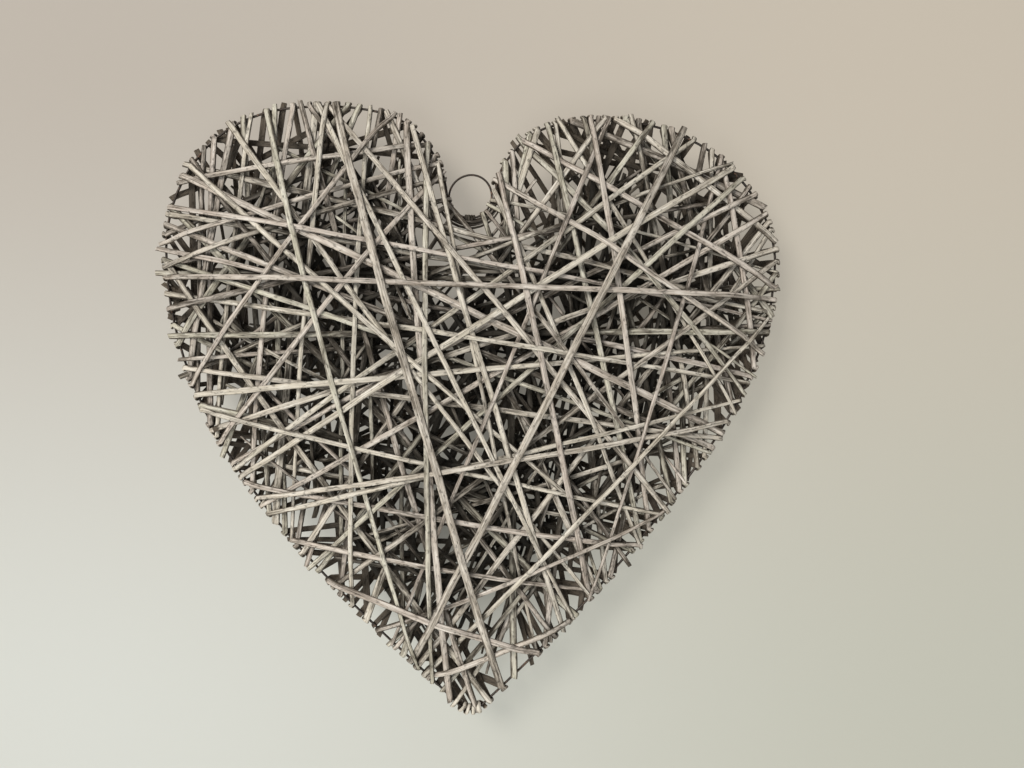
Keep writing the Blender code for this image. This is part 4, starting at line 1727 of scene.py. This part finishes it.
    def tone_of(self, chooser: random.Random) -> float:
        """Tone of a cane: most are warm, some rosy or mossy."""
        tone = chooser.choices(list(Tone), weights=self.tone_weights)[0]
        return min(max(tone.value + chooser.uniform(-self.tone_spread, self.tone_spread), 0.0), 1.0)

    def wear_of(self, chooser: random.Random) -> float:
        """Share of a cane's wash that is gone: little on most of them."""
        return self.most_wear * chooser.random() ** 2


@dataclass
class WireBindings:
    """The splits on the wire: one that ties the ring to it, some in the notch and one at the tip."""

    turns: float = 3.5
    width: float = 0.0024
    steps_per_turn: int = 22
    tie_wear: float = 0.85
    follower_insets: tuple[float, ...] = (0.0022, 0.0050, 0.0083)
    follower_width: float = 0.0030
    follower_height: float = 0.0031
    follower_reach: float = 0.030  # along the wire to either side of the notch's lowest point
    follower_step: float = 0.004
    follower_wear: float = 0.75
    follower_shortening: float = 0.1  # of each one against the one before it
    follower_thinning: float = 0.12
    follower_wave: float = 0.0012  # how far each one rises and falls
    notch_foot: float = -0.045  # about the height of the notch's lowest point
    tip_turns: float = 4.4
    tip_width: float = 0.0042
    tip_reach: float = 0.012  # along the wire to either side of the tip
    tip_radius: float = 0.0042  # clear of the canes that turn round the wire there
    seed: float = 91.7

    def build(self, finish: bpy.types.Material) -> None:
        """Build them all.

        Args:
            finish: their material.
        """
        rim = Rim(SolidReader("frame_wire").loop_middles(WIRE_SIDE))
        tie = ThinSplit(self.winding(), Tone.WARM.value, self.tie_wear)
        piece = self.dress("ring_binding", "binding", [tie], finish)
        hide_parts("ring_tie")
        followers = [ThinSplit(self.follower(rim, inset, number), Tone.ROSY.value, self.follower_wear)
                     for number, inset in enumerate(self.follower_insets)]
        self.dress("notch_splits", "cane", followers, finish)
        self.dress("tip_split", "cane", [ThinSplit(self.tip_winding(rim), Tone.WARM.value)], finish)

    def dress(self, name: str, slot: str, splits: list[ThinSplit],
              finish: bpy.types.Material) -> bpy.types.Object:
        """Make a piece of some splits and report it.

        Args:
            name: the piece's name.
            slot: material slot of the record that it takes; not used.
            splits: the splits.
            finish: their material.

        Returns:
            The piece.
        """
        draft = MeshDraft()
        for split in splits:
            split.add_to(draft)
        piece = draft.piece(name, finish)
        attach(piece, BODY)
        log.info("built %s, %d faces", name, len(draft.faces))
        return piece

    def tip_winding(self, rim: Rim) -> Line:
        """Lay out the split that is wound round the wire at the heart's tip.

        Args:
            rim: the heart wire.

        Returns:
            Its line.
        """
        lowest = min(rim.spots, key=lambda spot: spot.z)
        start = rim.arc_of(lowest) - self.tip_reach
        count = round(self.tip_turns * self.steps_per_turn)
        line = Line(width=self.tip_width, seed=self.seed + 20)
        for index in range(count + 1):
            hold = rim.hold_at(start + 2 * self.tip_reach * index / count)
            angle = math.tau * self.tip_turns * index / count
            face = Vector((0.0, math.sin(angle), 0.0))
            away = hold.out * math.cos(angle) + face
            around = Vector((0.0, math.cos(angle), 0.0)) - hold.out * math.sin(angle)
            pitch = 2 * self.tip_reach / (math.tau * self.tip_turns * self.tip_radius)
            travel = (around + hold.along * pitch).normalized()
            lateral = travel.cross(away).normalized()
            line.stations.append(Station(hold.place + away * self.tip_radius, travel, lateral, 0.5))
        line.measure()
        return line

    def winding(self) -> Line:
        """Lay out the split that is wound round the ring's foot and the wire.

        Returns:
            Its line.
        """
        low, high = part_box("ring_tie")
        middle = (low + high) / 2
        tall = (high.z - low.z) / 2 - self.width / 4
        deep = (high.y - low.y) / 2 - self.width / 4
        length = high.x - low.x - self.width
        count = round(self.turns * self.steps_per_turn)
        line = Line(width=self.width, seed=self.seed)
        for index in range(count + 1):
            angle = 2 * math.pi * self.turns * index / count
            place = Vector((length * (index / count - 0.5), deep * math.cos(angle), tall * math.sin(angle)))
            travel = Vector((length / count, -deep * math.sin(angle) * math.tau * self.turns / count,
                             tall * math.cos(angle) * math.tau * self.turns / count)).normalized()
            away = Vector((0.0, math.cos(angle) / deep, math.sin(angle) / tall)).normalized()
            lateral = travel.cross(away).normalized()
            line.stations.append(Station(middle + place, travel, lateral, 0.5))
        line.measure()
        return line

    def follower(self, rim: Rim, inset: float, number: int) -> Line:
        """Lay out a split that follows the wire through the notch.

        Args:
            rim: the heart wire.
            inset: how far inside the wire it lies.
            number: of the split.

        Returns:
            The line.
        """
        foot = rim.arc_of(Vector((0.0, 0.0, self.notch_foot)))
        reach = self.follower_reach * (1 - self.follower_shortening * number)
        count = round(2 * reach / self.follower_step)
        width = self.follower_width * (1 - self.follower_thinning * number)
        line = Line(width=width, seed=self.seed + number)
        for index in range(count + 1):
            share = index / count
            hold = rim.hold_at(foot + reach * (2 * share - 1))
            height = self.follower_height + self.follower_wave * math.sin(math.pi * share + number)
            place = hold.place - hold.out * inset - Vector((0.0, height, 0.0))
            line.stations.append(Station(place, hold.along, hold.out, 0.0))
        line.measure()
        for station in line.stations:
            if station.outward.y > 0:
                station.lateral = -station.lateral
        return line


def round_loop(centres: list[Vector], radius: float, sides: int, steps: int) -> MeshDraft:
    """A closed round wire through some points.

    Args:
        centres: points of its middle line.
        radius: of its section.
        sides: of its section.
        steps: sections laid for each given point.

    Returns:
        The mesh.
    """
    draft = MeshDraft()
    count = len(centres)
    line = []
    for index in range(count):
        a, b, c, d = (centres[(index + shift) % count] for shift in (-1, 0, 1, 2))
        for step in range(steps):
            t = step / steps
            line.append(0.5 * (2 * b + (c - a) * t + (2 * a - 5 * b + 4 * c - d) * t * t
                               + (3 * b - a - 3 * c + d) * t * t * t))
    total = len(line)
    for index, spot in enumerate(line):
        travel = (line[(index + 1) % total] - line[index - 1]).normalized()
        side = travel.cross(Vector((0.0, 1.0, 0.0))).normalized()
        up = side.cross(travel)
        for corner in range(sides):
            angle = 2 * math.pi * corner / sides
            draft.corners.append(spot + (side * math.cos(angle) + up * math.sin(angle)) * radius)
        if index:
            draft.bridge(sides)
    draft.bridge(sides, closed=True)
    return draft


@dataclass
class WireWork:
    """The heart-shaped wire and the hanging ring."""

    wire_radius: float = 0.00115
    ring_radius: float = 0.0010
    sides: int = 10
    wire_steps: int = 3  # sections for each given point
    ring_steps: int = 2
    ring_points: int = 48
    ring_crooks: tuple[float, float] = (0.012, 0.006)  # how far it is out of round, two and three fold
    crook_turn: float = 0.4

    def build(self, steel: bpy.types.Material) -> None:
        """Build the wire and the ring.

        Args:
            steel: their material.
        """
        centres = SolidReader("frame_wire").loop_middles(WIRE_SIDE)
        log.info("frame wire has %d sections", len(centres))
        draft = round_loop(centres, self.wire_radius, self.sides, self.wire_steps)
        self.finish(draft.piece("heart_wire", steel), "frame_wire")
        low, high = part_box("hanging_ring")
        middle = (low + high) / 2
        reach = (high.x - low.x) / 2 - self.ring_radius
        centres = []
        oval, lobed = self.ring_crooks
        for index in range(self.ring_points):
            angle = 2 * math.pi * index / self.ring_points
            crook = 1 + oval * math.sin(2 * angle + self.crook_turn) + lobed * math.sin(3 * angle)
            centres.append(middle + Vector((math.sin(angle), 0.0, math.cos(angle))) * reach * crook)
        draft = round_loop(centres, self.ring_radius, self.sides, self.ring_steps)
        self.finish(draft.piece("ring_wire", steel), "hanging_ring")

    def finish(self, piece: bpy.types.Object, node: str) -> None:
        """Put a wire piece in place of its construction solid.

        Args:
            piece: the piece.
            node: name of the solid's node.
        """
        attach(piece, BODY)
        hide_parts(node)
        log.info("built %s for %s", piece.name, node)


@dataclass(frozen=True)
class StudioLight:
    """A soft square light that faces the heart."""

    name: str
    place: Triple
    size: float  # side of its square
    power: float  # in watts
    colour: Rgb

    def build(self, aim: Triple) -> None:
        """Set up the light.

        Args:
            aim: the place that it faces.
        """
        lamp = bpy.data.lights.new(self.name, "AREA")
        lamp.size = self.size
        lamp.energy = self.power
        lamp.color = self.colour
        made = add_object(self.name, lamp)
        made.location = self.place
        way = Vector(aim) - Vector(self.place)
        made.rotation_euler = way.to_track_quat("-Z", "Y").to_euler()


@dataclass
class Studio:
    """Pale wall with painted light and shadow, plain pale floor, soft lights, and the camera."""

    wall_y: float = 0.052
    floor_z: float = -1.20
    size: float = 4.0
    wall_low: tuple[Rgb, Rgb] = ((0.535, 0.542, 0.502), (0.450, 0.448, 0.385))  # left and right, with painted light: brightest low on the left, darker toward the top
    wall_high: tuple[Rgb, Rgb] = ((0.410, 0.372, 0.325), (0.480, 0.430, 0.358))
    wall_across: Range = (-0.45, 0.50)  # where the left and the right colours are full
    wall_upward: Range = (-0.55, 0.15)
    wall_specular: float = 0.1
    roughness: float = 0.9  # of the wall and the floor
    wall_dim: float = 0.46  # how much of its colour the wall gives back
    wall_glow: float = 0.69  # and how much it glows, as painted light that keeps the gaps near the rim pale
    shaded: tuple[Triple, ...] = ((-0.14, 0.052, -0.10), (0.14, 0.052, -0.10), (0.0, 0.052, -0.20),
                                  (0.0, 0.052, -0.33))  # places behind the thick of the mat, where the glow is dimmed as painted shadow of the heart
    shade_reach: tuple[float, float] = (0.03, 0.14)  # full and no shade, from the nearest of them
    shade_glow: float = 0.35  # share of the glow that is left there
    floor_colour: Rgb = (0.62, 0.61, 0.57)
    air_colour: Rgb = (0.90, 0.92, 0.95)
    air_strength: float = 0.25
    lights: tuple[StudioLight, ...] = (
        StudioLight("key_light", (-2.2, -3.7, 1.7), 1.9, 197.0, (1.0, 0.965, 0.91)),
        StudioLight("fill_light", (-0.3, -1.5, -0.9), 0.9, 12.0, (0.95, 0.98, 1.0)),
        StudioLight("wall_side_light", (0.7, 1.5, 0.5), 1.2, 18.0, (1.0, 0.98, 0.95)))
    aim: Triple = (0.0, 0.0, -0.2)
    camera_place: Triple = (0.0395, -0.759, -0.198)
    lens: float = 28.0

    def build(self) -> None:
        """Set up the studio."""
        self.add_wall()
        self.add_floor()
        for light in self.lights:
            light.build(self.aim)
        self.light_world()
        self.add_camera()

    def plane(self, name: str, corners: list[Triple], material: bpy.types.Material) -> None:
        """Add a flat backdrop.

        Args:
            name: its name.
            corners: its corners, in order.
            material: its finish.
        """
        mesh = bpy.data.meshes.new(name)
        mesh.from_pydata(corners, [], [tuple(range(len(corners)))])
        mesh.materials.append(material)
        made = add_object(name, mesh)

    def add_wall(self) -> None:
        """Add the wall, which shows from the front only; its colour and glow carry painted light and
        shadow.
        """
        material, sheet, shader = blank_material("studio_wall")
        point = sheet.node("ShaderNodeNewGeometry")
        across, _, height = sheet.split(point.outputs["Position"])
        right = sheet.ramp(across, *self.wall_across)
        low = sheet.mix(right, *self.wall_low)
        high = sheet.mix(right, *self.wall_high)
        # painted light: the wall brightens toward the lower left and darkens toward the top
        colour = sheet.mix(sheet.ramp(height, *self.wall_upward), low, high)
        sheet.feed(shader.inputs["Base Color"], sheet.mix(1.0, colour, (self.wall_dim,) * 3, "MULTIPLY"))
        nearest, *others = (self.distance(sheet, point.outputs["Position"], spot) for spot in self.shaded)
        for other in others:
            nearest = sheet.math("MINIMUM", nearest, other)
        # painted shadow: the glow dims near the places behind the thick of the mat
        glow = sheet.ramp(nearest, *self.shade_reach, self.shade_glow, 1.0)
        sheet.feed(shader.inputs["Emission Color"], sheet.mix(1.0, colour, glow, "MULTIPLY"))
        shader.inputs["Emission Strength"].default_value = self.wall_glow
        shader.inputs["Roughness"].default_value = self.roughness
        shader.inputs["Specular IOR Level"].default_value = self.wall_specular
        path = sheet.node("ShaderNodeLightPath")
        clear = sheet.math("MAXIMUM", point.outputs["Backfacing"], path.outputs["Is Shadow Ray"])
        glass = sheet.node("ShaderNodeBsdfTransparent")
        choice = sheet.node("ShaderNodeMixShader")
        sheet.feed(choice.inputs[0], clear)
        sheet.feed(choice.inputs[1], shader.outputs[0])
        sheet.feed(choice.inputs[2], glass.outputs[0])
        output = material.node_tree.nodes["Material Output"]
        sheet.feed(output.inputs["Surface"], choice.outputs[0])
        half = self.size / 2
        y = self.wall_y
        low = self.floor_z
        self.plane("studio_wall", [(-half, y, low), (half, y, low), (half, y, half), (-half, y, half)],
                   material)

    def distance(self, sheet: NodeSheet, place: bpy.types.NodeSocket, spot: Triple) -> bpy.types.NodeSocket:
        """Distance of the shaded point from a spot.

        Args:
            sheet: the material's nodes.
            place: socket of the point's place.
            spot: the spot.

        Returns:
            Socket of the distance.
        """
        made = sheet.node("ShaderNodeVectorMath", operation="DISTANCE")
        sheet.feed(made.inputs[0], place)
        made.inputs[1].default_value = spot
        return made.outputs["Value"]

    def add_floor(self) -> None:
        """Add the floor."""
        material, _, shader = blank_material("studio_floor")
        shader.inputs["Base Color"].default_value = (*self.floor_colour, 1.0)
        shader.inputs["Roughness"].default_value = self.roughness
        half = self.size / 2
        z = self.floor_z
        self.plane("studio_floor", [(-half, -half, z), (half, -half, z), (half, half, z), (-half, half, z)],
                   material)

    def light_world(self) -> None:
        """Fill the room with pale light."""
        world = bpy.data.worlds.new("studio_air")
        world.use_nodes = True
        back = world.node_tree.nodes["Background"]
        back.inputs["Color"].default_value = (*self.air_colour, 1.0)
        back.inputs["Strength"].default_value = self.air_strength
        bpy.context.scene.world = world

    def add_camera(self) -> None:
        """Add the camera, level and square to the wall, a little right of the heart's middle."""
        lens = bpy.data.cameras.new("camera")
        lens.lens = self.lens
        made = add_object("camera", lens)
        made.location = self.camera_place
        made.rotation_euler = (math.pi / 2, 0.0, 0.0)
        bpy.context.scene.camera = made


def main() -> None:
    """Build the heart's pieces in order, then the studio."""
    logging.basicConfig(level=logging.INFO, format="%(name)s: %(message)s")
    bpy.context.scene.view_settings.view_transform = "Standard"
    workshop = Workshop()
    cane = WashedCane().make(workshop)
    steel = DarkWire().make(workshop)
    mat = CaneMat()
    mat.build(cane)
    log.info("winding: %d pieces, %d triangles", len(mat.pieces),
             sum(len(face.vertices) - 2 for piece in mat.pieces for face in piece.data.polygons))
    WireWork().build(steel)
    WireBindings().build(cane)
    Studio().build()


if __name__ == "__main__":
    main()
